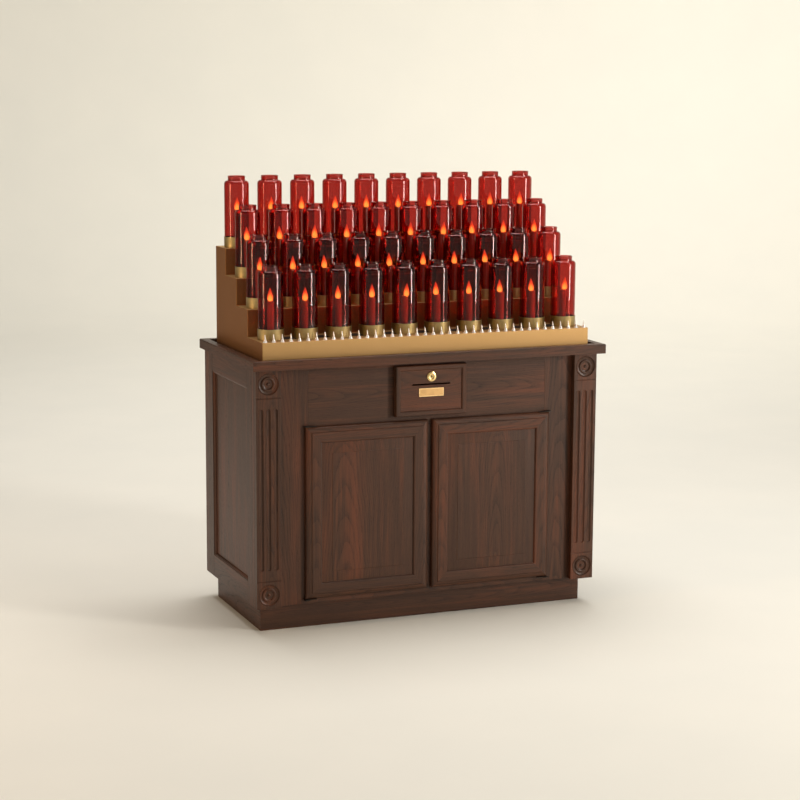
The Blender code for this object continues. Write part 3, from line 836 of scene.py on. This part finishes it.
for label, direction in (("left", -1), ("right", 1)):
    node = f"door_{label}"
    low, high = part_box(node)
    thick = high.y - low.y
    door = Joinery(node + "_joinery")
    edges = (low.x, high.x, low.z, high.z)
    door.lay_mitred(lambda u, v, out: (u, high.y - out, v), "X", "Z", edges, door_profile(thick), 0.0003)
    inner = (low.x + DOOR_FRAME, high.x - DOOR_FRAME, low.z + DOOR_FRAME, high.z - DOOR_FRAME)
    panel = bmesh.new()
    raised = [
        (0.0, high.y - 0.004),
        (0.0, low.y + PANEL_DROP + 0.0003),
        (FIELD_MARGIN, low.y + 0.0032),
        (FIELD_MARGIN + 0.0008, low.y + 0.0022),
    ]
    add_plate(panel, inner, raised)
    door.lay(panel, "Z", 0.0003)
    door.make(oak, node, "stained_oak", node)

    hinge = next(joint for joint in frame["joints"] if joint["name"] == f"{node}_hinge")["pos_m"]
    leaves = bmesh.new()
    brackets = bmesh.new()
    for level, up in ((high.z, 1), (low.z, -1)):
        heights = [level, level + up * PIVOT_PLATE]
        reach = (hinge[0] - direction * 0.030, hinge[0] + direction * 0.0025)
        add_box(leaves, (min(reach), low.y + 0.004, min(heights)), (max(reach), high.y - 0.003, max(heights)))
        heights = [level + up * (PIVOT_PLATE + PIVOT_GAP), level + up * (2 * PIVOT_PLATE + PIVOT_GAP)]
        add_box(
            brackets,
            (hinge[0] - 0.008, hinge[1] - 0.004, min(heights)),
            (hinge[0] + 0.008, face_front, max(heights)),
        )
        add_turned(
            brackets,
            [(0, -0.0004), (PIVOT_PIN, -0.0004), (PIVOT_PIN, 0.0014), (0, 0.0014)],
            20,
            (hinge[0], hinge[1], level + up * (PIVOT_PLATE + PIVOT_GAP) - (0.0009 if up < 0 else 0.0)),
        )
    make_piece(node + "_pivot_leaves", leaves, blackened, node, "dark_metal")
    make_piece(node + "_pivot_brackets", brackets, blackened, "cabinet", "dark_metal")


# ---- Offering drawer ----
# The drawer's face is an oak panel, cut through for the coin slot and the lock, inside a mitred lip.
# Behind it a plain box of pale wood runs in an open trough that hangs under the cabinet top.
DRAWER_LIP = 0.015
LIP_RISE = 0.004
LOCK_BORE = 0.0088
front_low, front_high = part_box("drawer_front")
lock_joint = next(joint for joint in frame["joints"] if joint["name"] == "lock_turn")
lock_z = lock_joint["pos_m"][2]
slot_low, slot_high = extent(
    "drawer_front", lambda point: 0.03 < abs(point.x) < 0.08 and 0.68 < point.z < 0.71
)
thick = front_high.y - front_low.y
lip_profile = [
    (0, 0),
    (0, thick - 0.0030),
    (0.0008, thick - 0.0012),
    (0.0026, thick),
    (DRAWER_LIP - 0.0030, thick),
    (DRAWER_LIP - 0.0012, thick - 0.0010),
    (DRAWER_LIP, thick - 0.0030),
    (DRAWER_LIP, 0),
]
drawer_face = Joinery("drawer_face")
drawer_face.lay_mitred(
    lambda u, v, out: (u, front_high.y - out, v),
    "X",
    "Z",
    (front_low.x, front_high.x, front_low.z, front_high.z),
    lip_profile,
    0.0003,
)
panel_y = front_low.y + LIP_RISE
solid = bmesh.new()
add_box(
    solid,
    (front_low.x + DRAWER_LIP, panel_y, front_low.z + DRAWER_LIP),
    (front_high.x - DRAWER_LIP, front_high.y, front_high.z - DRAWER_LIP),
)
cutters = bmesh.new()
slot_ends = (panel_y - 0.01, front_high.y + 0.01)
add_box(cutters, (slot_low.x, slot_ends[0], slot_low.z), (slot_high.x, slot_ends[1], slot_high.z))
bore = [(0, -0.01), (LOCK_BORE, -0.01), (LOCK_BORE, 0.03), (0, 0.03)]
add_turned(cutters, bore, 32, (0, panel_y, lock_z), "Y")
drawer_face.lay(cut_board(solid, cutters), "X", 0.0004)
drawer_face.make(oak, "drawer", "stained_oak", "drawer_front")

plain_wood = stained_oak("plain_wood", (0.42, 0.28, 0.165), (0.27, 0.165, 0.09), (0.44, 0.26, 0.13), 0.12)
box_low, box_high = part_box("drawer_box")
BOX_WALL = 0.008
front_top = extent(
    "drawer_box", lambda point: point.z < box_high.z - 0.001 and point.z > box_low.z + 0.02
)[1].z
box = Joinery("drawer_box_boards")
for x_low, x_high in ((box_low.x, box_low.x + BOX_WALL), (box_high.x - BOX_WALL, box_high.x)):
    box.lay_box((x_low, box_low.y, box_low.z), (x_high, box_high.y, box_high.z), "Y", 0.0005)
inner_x = (box_low.x + BOX_WALL, box_high.x - BOX_WALL)
box.lay_box((inner_x[0], box_low.y, box_low.z), (inner_x[1], box_low.y + BOX_WALL, front_top), "X")
box.lay_box((inner_x[0], box_high.y - BOX_WALL, box_low.z), (inner_x[1], box_high.y, box_high.z), "X")
box.lay_box(
    (inner_x[0], box_low.y + BOX_WALL, box_low.z),
    (inner_x[1], box_high.y - BOX_WALL, box_low.z + BOX_WALL),
    "Y",
    0,
)
box.make(plain_wood, "drawer", "plain_wood", "drawer_box")

trough_low, trough_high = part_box("drawer_cradle")
TROUGH_WALL = 0.010
trough = Joinery("drawer_trough")
for x_low, x_high in (
    (trough_low.x, trough_low.x + TROUGH_WALL),
    (trough_high.x - TROUGH_WALL, trough_high.x),
):
    trough.lay_box((x_low, trough_low.y, trough_low.z), (x_high, trough_high.y, trough_high.z), "Y")
trough.lay_box(
    (trough_low.x + TROUGH_WALL, trough_low.y, trough_low.z),
    (trough_high.x - TROUGH_WALL, trough_high.y, trough_low.z + TROUGH_WALL),
    "Y",
)
trough.make(plain_wood, "cabinet", "plain_wood", "drawer_cradle")


# ---- Lock and label ----
# A brass cam lock: a turned face ring with a sunk plug, a thin dark plate on the plug as the keyway's
# painted shade, and a steel cam on the barrel.
# Below the coin slot is a blank brass plate with a raised border round a duller field.
brass = metal("polished_brass", (0.86, 0.62, 0.28), 0.16, 0.2)
lock_low, lock_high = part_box("lock_plug")
LOCK_FACE = 0.015
BARREL = 0.0078
lock = bmesh.new()
add_turned(
    lock,
    [
        (0, 0.0022),
        (0.0062, 0.0022),
        (0.0066, 0.0012),
        (0.0070, 0.0004),
        (0.0084, 0.0),
        (0.0118, 0.0003),
        (0.0141, 0.0014),
        (LOCK_FACE, 0.0030),
        (LOCK_FACE, panel_y - 0.0003 - lock_low.y),
        (BARREL, panel_y - 0.0003 - lock_low.y),
        (BARREL, lock_high.y - lock_low.y),
        (0, lock_high.y - lock_low.y),
    ],
    48,
    (0, lock_low.y, lock_z),
    "Y",
)
make_piece("lock_face", lock, brass, "lock", "polished_brass", "lock_plug")
# Painted shade: the keyway is a thin dark plate on the plug's face, standing in for the shaded slot.
keyway = bmesh.new()
key_back, key_front = lock_low.y + 0.0017, lock_low.y + 0.0021
for half, below, above in ((0.0008, 0.0042, 0.0042), (0.0022, 0.0010, 0.0022)):
    add_box(keyway, (-half, key_back, lock_z - below), (half, key_front, lock_z + above))
make_piece("lock_keyway", keyway, blackened, "lock", "dark_metal")
cam = bmesh.new()
cam_y = lock_high.y - 0.0038
add_box(cam, (lock_low.x, cam_y, lock_z - 0.006), (0.003, cam_y + 0.003, lock_z + 0.006))
soften(cam, [e for e in cam.edges if abs((e.verts[0].co - e.verts[1].co).y) > 0.002], 0.004, 4)
make_piece("lock_cam", cam, steel, "lock", "dark_metal")

label_low, label_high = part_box("label_plate")
satin_brass = metal("satin_brass", (0.90, 0.62, 0.30), 0.34, 0.15)
BORDER = 0.0022
plate = bmesh.new()
rises = [(0, 0.0), (0, 0.0011), (0.0004, 0.0015), (BORDER, 0.0015), (BORDER + 0.0004, 0.0011)]
edges = (label_low.x, label_high.x, label_low.z, label_high.z)
add_plate(plate, edges, [(inset, label_high.y - out) for inset, out in rises])
bmesh.ops.recalc_face_normals(plate, faces=plate.faces)
make_piece("label_plate_brass", plate, satin_brass, "drawer", "polished_brass", "label_plate")
dull_brass = metal("dull_brass", (0.60, 0.37, 0.16), 0.42, 0.3)
field = bmesh.new()
FIELD_EDGE = BORDER + 0.0008
add_box(
    field,
    (label_low.x + FIELD_EDGE, label_high.y - 0.00125, label_low.z + FIELD_EDGE),
    (label_high.x - FIELD_EDGE, label_high.y - 0.0009, label_high.z - FIELD_EDGE),
)
make_piece("label_field", field, dull_brass, "drawer", "polished_brass")


# ---- Stepped rack ----
# One folded sheet-metal housing of four steps with welded ends, sprayed a satin gold. Painted shade
# makes the gold darker and browner on the ends and risers. Its folds are slightly round, and the paint
# has a fine orange peel.
FOLD = 0.0016
SHEET = 0.0015
STEPS = 4


def gold_paint():
    paint = Finish("gold_paint", metallic=0.85)
    place = paint.place()
    peel = paint.noise(place, 420.0, 2.0, 0.5)
    cloud = paint.noise(place, 9.0, 4.0, 0.55)
    flake = paint.noise(place, 2600.0, 1.0)
    sparkle = paint.ramp(flake, 0.62, 0.72)
    tone = paint.blend(cloud, (0.44, 0.262, 0.098), (0.51, 0.315, 0.134))
    # Painted shade: the ends and the risers get a darker, browner gold, for the light that reaches them less.
    shaded_gold = paint.blend(cloud, (0.29, 0.130, 0.046), (0.34, 0.158, 0.062))
    facing = paint.add("ShaderNodeTexCoord", output=1)
    sideways, backward = paint.axes(facing, 2)
    sideways = paint.add("ShaderNodeMath", {"operation": "ABSOLUTE"}, {0: sideways})
    end_shade = paint.ramp(sideways, 0.55, 0.85)
    depth = paint.add("ShaderNodeSeparateXYZ", inputs={0: place}, output=1)
    riser_shade = paint.ramp(backward, -0.55, -0.85) * paint.ramp(depth, -0.205, -0.185)
    tone = paint.blend(end_shade + riser_shade, tone, shaded_gold)
    paint.surface(
        base_color=paint.blend(sparkle * 0.4, tone, (0.70, 0.50, 0.26)),
        roughness=0.50 + flake * 0.10 + cloud * 0.06,
        normal=paint.bump(peel * 0.8 + flake * 0.2, 0.00007, 0.45),
    )
    return paint.material


gold = gold_paint()
rack_low, rack_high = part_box("rack_housing")
lamp_boxes = [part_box(f"lamp_row_{row + 1}") for row in range(STEPS)]
tread_levels = [box_low.z - 0.0003 for box_low, _ in lamp_boxes]
riser_lines = sorted(
    {
        round(v.co.y, 4)
        for v in frame["nodes"]["rack_housing"].data.vertices
        if v.co.z > tread_levels[0] + 0.01 and abs(abs(v.co.x) - rack_high.x) < 0.0005
    }
)[: STEPS - 1]
section = [(rack_low.y, rack_low.z)]
front_line = rack_low.y
for row in range(STEPS):
    if row:
        front_line = riser_lines[row - 1]
        section.append((front_line, tread_levels[row - 1]))
    section.append((front_line, tread_levels[row]))
section.append((rack_high.y, tread_levels[-1]))
section.append((rack_high.y, rack_low.z))
shell = bmesh.new()
ends = [[shell.verts.new((x, y, z)) for y, z in section] for x in (rack_low.x, rack_high.x)]
for i in range(len(section) - 1):
    shell.faces.new((ends[0][i], ends[1][i], ends[1][i + 1], ends[0][i + 1]))
shell.faces.new(ends[0])
shell.faces.new(ends[1])
bmesh.ops.recalc_face_normals(shell, faces=shell.faces)
top_face = max(shell.faces, key=lambda f: f.calc_center_median().z if abs(f.normal.z) > 0.9 else -1)
if top_face.normal.z < 0:
    bmesh.ops.reverse_faces(shell, faces=shell.faces)
folds = [e for e in shell.edges if len(e.link_faces) == 2]
soften(shell, folds, FOLD, 3)
rack = make_piece("rack_sheet", shell, gold, "cabinet", "gold_paint", "rack_housing")
wall = rack.modifiers.new("sheet", "SOLIDIFY")
wall.thickness = SHEET
wall.offset = -1.0
keep_flat(rack)


# ---- Lamps ----
# Forty lamps stand on the steps. Each is a gold ring cup, a bottle-shaped ruby glass globe with an open
# neck, and inside it an ivory candle tube that carries a flame-shaped bulb. A strip joins each row; it
# is blackened as painted shade, for the dark on the steps between the cups.
CUP_RADIUS = 0.0378
CUP_HEIGHT = 0.031
GLOBE_RADIUS = 0.0365
NECK_RADIUS = 0.0256
GLASS = 0.0022
TUBE_RADIUS = 0.0100
TUBE_TOP = 0.109
FLAME_HEIGHT = 0.037
LAMP_SIDES = 48

first_low, first_high = lamp_boxes[0]
second_low, _ = lamp_boxes[1]
toggle_joints = [joint for joint in frame["joints"] if joint["name"].startswith("toggle_")]
toggle_pivots = [Vector(joint["pos_m"]) for joint in toggle_joints]
SWITCHES_PER_LAMP = 4
ROW_LAMPS = 10
STRIP_WIDTH = 0.036
STRIP_LIFT = 0.0008
STRIP_SHEET = 0.002
lamp_pitch = SWITCHES_PER_LAMP * (toggle_pivots[1].x - toggle_pivots[0].x)
globe_height = first_high.z - tread_levels[0]
lamp_sizes = {
    "lamps": ROW_LAMPS,
    "rows": STEPS,
    "pitch": lamp_pitch,
    "run": second_low.y - first_low.y,
    "rise": tread_levels[1] - tread_levels[0],
    "first": (
        -lamp_pitch * (ROW_LAMPS - 1) / 2,
        (first_low.y + first_high.y) / 2,
        tread_levels[0],
    ),
}


def set_out_lamps(name, shape, material, tilt=0.0):
    """The shape at each of the forty lamp places, turned a little by chance."""
    jig = Jig(name + "_jig", tilt=tilt, **lamp_sizes)
    across = jig.add("ShaderNodeCombineXYZ", inputs={0: jig.size("pitch")})
    back = jig.add("ShaderNodeCombineXYZ", inputs={1: jig.size("run"), 2: jig.size("rise")})
    row = jig.add(
        "GeometryNodeMeshLine",
        inputs={"Count": jig.size("lamps"), "Start Location": jig.size("first"), "Offset": across},
    )
    rows = jig.add("GeometryNodeMeshLine", inputs={"Count": jig.size("rows"), "Offset": back})
    spread = jig.add("GeometryNodeInstanceOnPoints", inputs={"Points": rows, "Instance": row})
    spots = jig.add("GeometryNodeRealizeInstances", inputs={0: spread})
    lean_back = jig.add("ShaderNodeMath", {"operation": "MULTIPLY"}, {0: jig.size("tilt"), 1: -1.0})
    low = jig.add("ShaderNodeCombineXYZ", inputs={0: lean_back, 1: lean_back})
    high = jig.add(
        "ShaderNodeCombineXYZ", inputs={0: jig.size("tilt"), 1: jig.size("tilt"), 2: math.tau}
    )
    turn = jig.add("FunctionNodeRandomValue", {"data_type": "FLOAT_VECTOR"}, {0: low, 1: high, "Seed": 5})
    made = jig.run(name, jig.stand(spots, shape, Rotation=turn), material)
    bpy.data.objects.remove(shape)
    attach(made, "cabinet")
    return made


def globe_section():
    """Closed section of the globe's wall: up the outside, over the lip, and down the inside."""
    shoulder, neck = globe_height - 0.024, globe_height - 0.0135
    outer = [
        (GLOBE_RADIUS - 0.0045, 0.0040),
        (GLOBE_RADIUS - 0.0018, 0.0052),
        (GLOBE_RADIUS - 0.0004, 0.0085),
        (GLOBE_RADIUS, 0.013),
        (GLOBE_RADIUS, 0.10),
        (GLOBE_RADIUS, shoulder - 0.002),
    ]
    reach = GLOBE_RADIUS - NECK_RADIUS
    for sine, cosine in arc(7):
        outer.append((NECK_RADIUS + reach * cosine**0.8, shoulder + (neck - shoulder) * sine**1.15))
    outer += [
        (NECK_RADIUS - 0.0002, neck + 0.0015),
        (NECK_RADIUS - 0.0002, globe_height - 0.0030),
        (NECK_RADIUS + 0.0004, globe_height - 0.0018),
        (NECK_RADIUS, globe_height - 0.0004),
        (NECK_RADIUS - 0.0012, globe_height - 0.0001),
    ]
    inner = [(max(r - GLASS, 0.0), z - (GLASS * 0.6 if z > shoulder else 0.0)) for r, z in outer[2:-3]]
    inner[0] = (GLOBE_RADIUS - GLASS - 0.003, 0.0100)
    floor = [(0.0, 0.0095), (0.0, 0.0040)]
    return outer + inner[::-1] + floor


def ruby_glass():
    """Ruby glass that is cast right through: sight bends in it, lamps shine through it, tinted."""
    glass = Finish(
        "ruby_glass",
        base_color=(0.60, 0.130, 0.110),
        roughness=0.02,
        transmission_weight=1.0,
        ior=1.42,
    )
    place = glass.place()
    ripple = glass.noise(glass.stretched(place, (1.0, 1.0, 0.35)), 38.0, 2.0)
    seeds = glass.noise(place, 260.0, 1.0)
    glass.surface(normal=glass.bump(ripple + seeds * 0.1, 0.0005, 0.25))
    through = glass.add("ShaderNodeBsdfTransparent", inputs={0: (0.32, 0.110, 0.100)})
    shadow = glass.add("ShaderNodeLightPath", output=1)
    both = glass.add("ShaderNodeMixShader", inputs={0: shadow, 2: through})
    glass.tree.links.new(glass.shader.outputs[0], both.socket.node.inputs[1])
    glass.tree.links.new(both.socket, glass.output.inputs[0])
    return glass.material


# Painted shade: the row strips are blackened to darken the steps between the cups.
work = bmesh.new()
strip_end = lamp_pitch * (ROW_LAMPS - 1) / 2 + 0.010
for (box_low, box_high), tread in zip(lamp_boxes, tread_levels):
    middle = (box_low.y + box_high.y) / 2
    underside = tread + STRIP_LIFT
    add_box(
        work,
        (-strip_end, middle - STRIP_WIDTH / 2, underside),
        (strip_end, middle + STRIP_WIDTH / 2, underside + STRIP_SHEET),
    )
make_piece("lamp_strips", work, blackened, "cabinet", "dark_metal")

work = bmesh.new()
add_turned(work, globe_section(), LAMP_SIDES, ring=True)
globes = set_out_lamps("ruby_globes", template("globe_shape", work), ruby_glass())
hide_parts(*[f"lamp_row_{row + 1}" for row in range(STEPS)])

work = bmesh.new()
cup_section = [
    (GLOBE_RADIUS + 0.0002, 0.0006),
    (CUP_RADIUS - 0.0004, 0.0006),
    (CUP_RADIUS - 0.0004, 0.0024),
    (CUP_RADIUS - 0.0002, CUP_HEIGHT - 0.0026),
    (CUP_RADIUS, CUP_HEIGHT - 0.0020),
    (CUP_RADIUS, CUP_HEIGHT - 0.0006),
    (CUP_RADIUS - 0.0004, CUP_HEIGHT),
    (GLOBE_RADIUS + 0.0002, CUP_HEIGHT),
]
add_turned(work, cup_section, LAMP_SIDES, ring=True)
cup_gold = metal("cup_gold", (0.48, 0.355, 0.160), 0.33, 0.3, 500.0)
cups = set_out_lamps("gold_cups", template("cup_shape", work), cup_gold)

ivory = Finish("ivory_tube", roughness=0.42)
wax = ivory.noise(ivory.stretched(ivory.place(), (1.0, 1.0, 0.4)), 90.0, 3.0)
ivory.surface(
    base_color=ivory.blend(wax, (0.66, 0.56, 0.45), (0.74, 0.66, 0.56)),
    normal=ivory.bump(wax, 0.0004, 0.3),
)
work = bmesh.new()
tube_section = [
    (0, 0.0102),
    (TUBE_RADIUS + 0.004, 0.0102),
    (TUBE_RADIUS + 0.004, 0.0135),
    (TUBE_RADIUS, 0.0150),
    (TUBE_RADIUS, TUBE_TOP - 0.003),
    (TUBE_RADIUS - 0.001, TUBE_TOP - 0.001),
    (TUBE_RADIUS - 0.003, TUBE_TOP),
    (TUBE_RADIUS - 0.0045, TUBE_TOP - 0.002),
    (0, TUBE_TOP - 0.002),
]
add_turned(work, tube_section, 32)
tubes = set_out_lamps("candle_tubes", template("tube_shape", work), ivory.material)

flame = Finish("flame_bulb", base_color=(0.9, 0.5, 0.25), roughness=0.2, emission_strength=3.4)
rise = flame.add("ShaderNodeAttribute", {"attribute_name": "rise"}, output=2)
flicker = flame.noise(flame.place(), 45.0)
edge_on = flame.add("ShaderNodeLayerWeight", inputs={"Blend": 0.5}, output=1)
glow = flame.ramp(rise + flicker * 0.2 + edge_on * 0.55, 0.85, 0.30, "SMOOTHSTEP")
tip_fade = flame.blend(rise, (0.52, 0.130, 0.022), (0.20, 0.026, 0.014))
flame.surface(emission_color=flame.blend(glow, tip_fade, (1.0, 0.90, 0.16)))
work = bmesh.new()
flame_section = [(0, TUBE_TOP - 0.0022), (0.0044, TUBE_TOP - 0.0022), (0.0044, TUBE_TOP)]
for step in range(1, 17):
    share = step / 16
    swell = math.sin(math.pi * share**0.58) ** 0.95
    flame_section.append((0.0070 * swell + 0.0040 * (1 - share) ** 4, TUBE_TOP + FLAME_HEIGHT * share))
flame_section[-1] = (0, TUBE_TOP + FLAME_HEIGHT)
add_turned(work, flame_section, 24)
rise_layer = work.verts.layers.float.new("rise")
for v in work.verts:
    v[rise_layer] = (v.co.z - TUBE_TOP) / FLAME_HEIGHT
flames = set_out_lamps("flame_bulbs", template("flame_shape", work), flame.material, 0.05)


# ---- Switches ----
# Forty toggle switches stand along the front edge of the lowest step, four to a lamp. Each has a
# tapering ridged nut, fixed to the step, and a bright turned lever that tips over.
nickel = metal("bright_nickel", (0.93, 0.88, 0.84), 0.34, 0.06, 1400.0)
NUT_RADIUS = 0.0068
NUT_TOP_RADIUS = 0.0030
NUT_HEIGHT = 0.0090
NUT_FLANK = NUT_RADIUS - 0.0005
LEVER_BALL = 0.0022
LEVER_NECK = 0.0013
LEVER_LEAN = math.radians(13)

work = bmesh.new()
nut_section = [(0, 0), (NUT_RADIUS, 0), (NUT_RADIUS, 0.0007), (NUT_FLANK, 0.0010)]
for ridge in (1, 2, 3):
    level = 0.0010 + (NUT_HEIGHT - 0.0016) * ridge / 3
    radius = NUT_FLANK + (NUT_TOP_RADIUS - NUT_FLANK) * ridge / 3
    nut_section += [(radius, level), (radius - 0.00025, level + 0.0001)]
nut_section += [(NUT_TOP_RADIUS - 0.0003, NUT_HEIGHT), (0.0019, NUT_HEIGHT), (0.0016, NUT_HEIGHT - 0.0012)]
nut_section.append((0, NUT_HEIGHT - 0.0012))
add_turned(work, nut_section, 20)
base_shape = template("switch_base_shape", work)
line = Jig("switch_line", count=len(toggle_pivots), pitch=0.0254, first=(0.0, 0.0, 0.0))
step = line.add("ShaderNodeCombineXYZ", inputs={0: line.size("pitch")})
spots = line.add(
    "GeometryNodeMeshLine",
    inputs={"Count": line.size("count"), "Start Location": line.size("first"), "Offset": step},
)
spin = line.add(
    "FunctionNodeRandomValue",
    {"data_type": "FLOAT_VECTOR"},
    {0: (0, 0, 0), 1: (0, 0, math.tau), "Seed": 3},
)
switch_bases = line.run(
    "switch_nuts",
    line.stand(spots, base_shape, Rotation=spin),
    nickel,
    pitch=lamp_pitch / SWITCHES_PER_LAMP,
    first=(toggle_pivots[0].x, toggle_pivots[0].y, tread_levels[0] + 0.0001),
)
bpy.data.objects.remove(base_shape)
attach(switch_bases, "cabinet")

lever_section = [(0, -LEVER_BALL)]
lever_section += [(LEVER_BALL * sine, -LEVER_BALL * cosine) for sine, cosine in arc(5, math.pi * 0.62)]
lever_section += [(0.0020, 0.0018), (0.0017, 0.0045), (LEVER_NECK, 0.0078), (LEVER_NECK, 0.0090)]
lever_section += [(LEVER_NECK * cosine, 0.0096 + LEVER_NECK * sine) for sine, cosine in arc(4)]
lever_section[-1] = (0, 0.0109)
for number, pivot in enumerate(toggle_pivots, 1):
    name = f"toggle_{number:02d}"
    work = bmesh.new()
    add_turned(work, lever_section, 16)
    bmesh.ops.rotate(work, verts=work.verts, matrix=Matrix.Rotation(-LEVER_LEAN, 3, "X"))
    bmesh.ops.translate(work, verts=work.verts, vec=pivot)
    make_piece(f"switch_lever_{number:02d}", work, nickel, name, "bright_nickel", name)
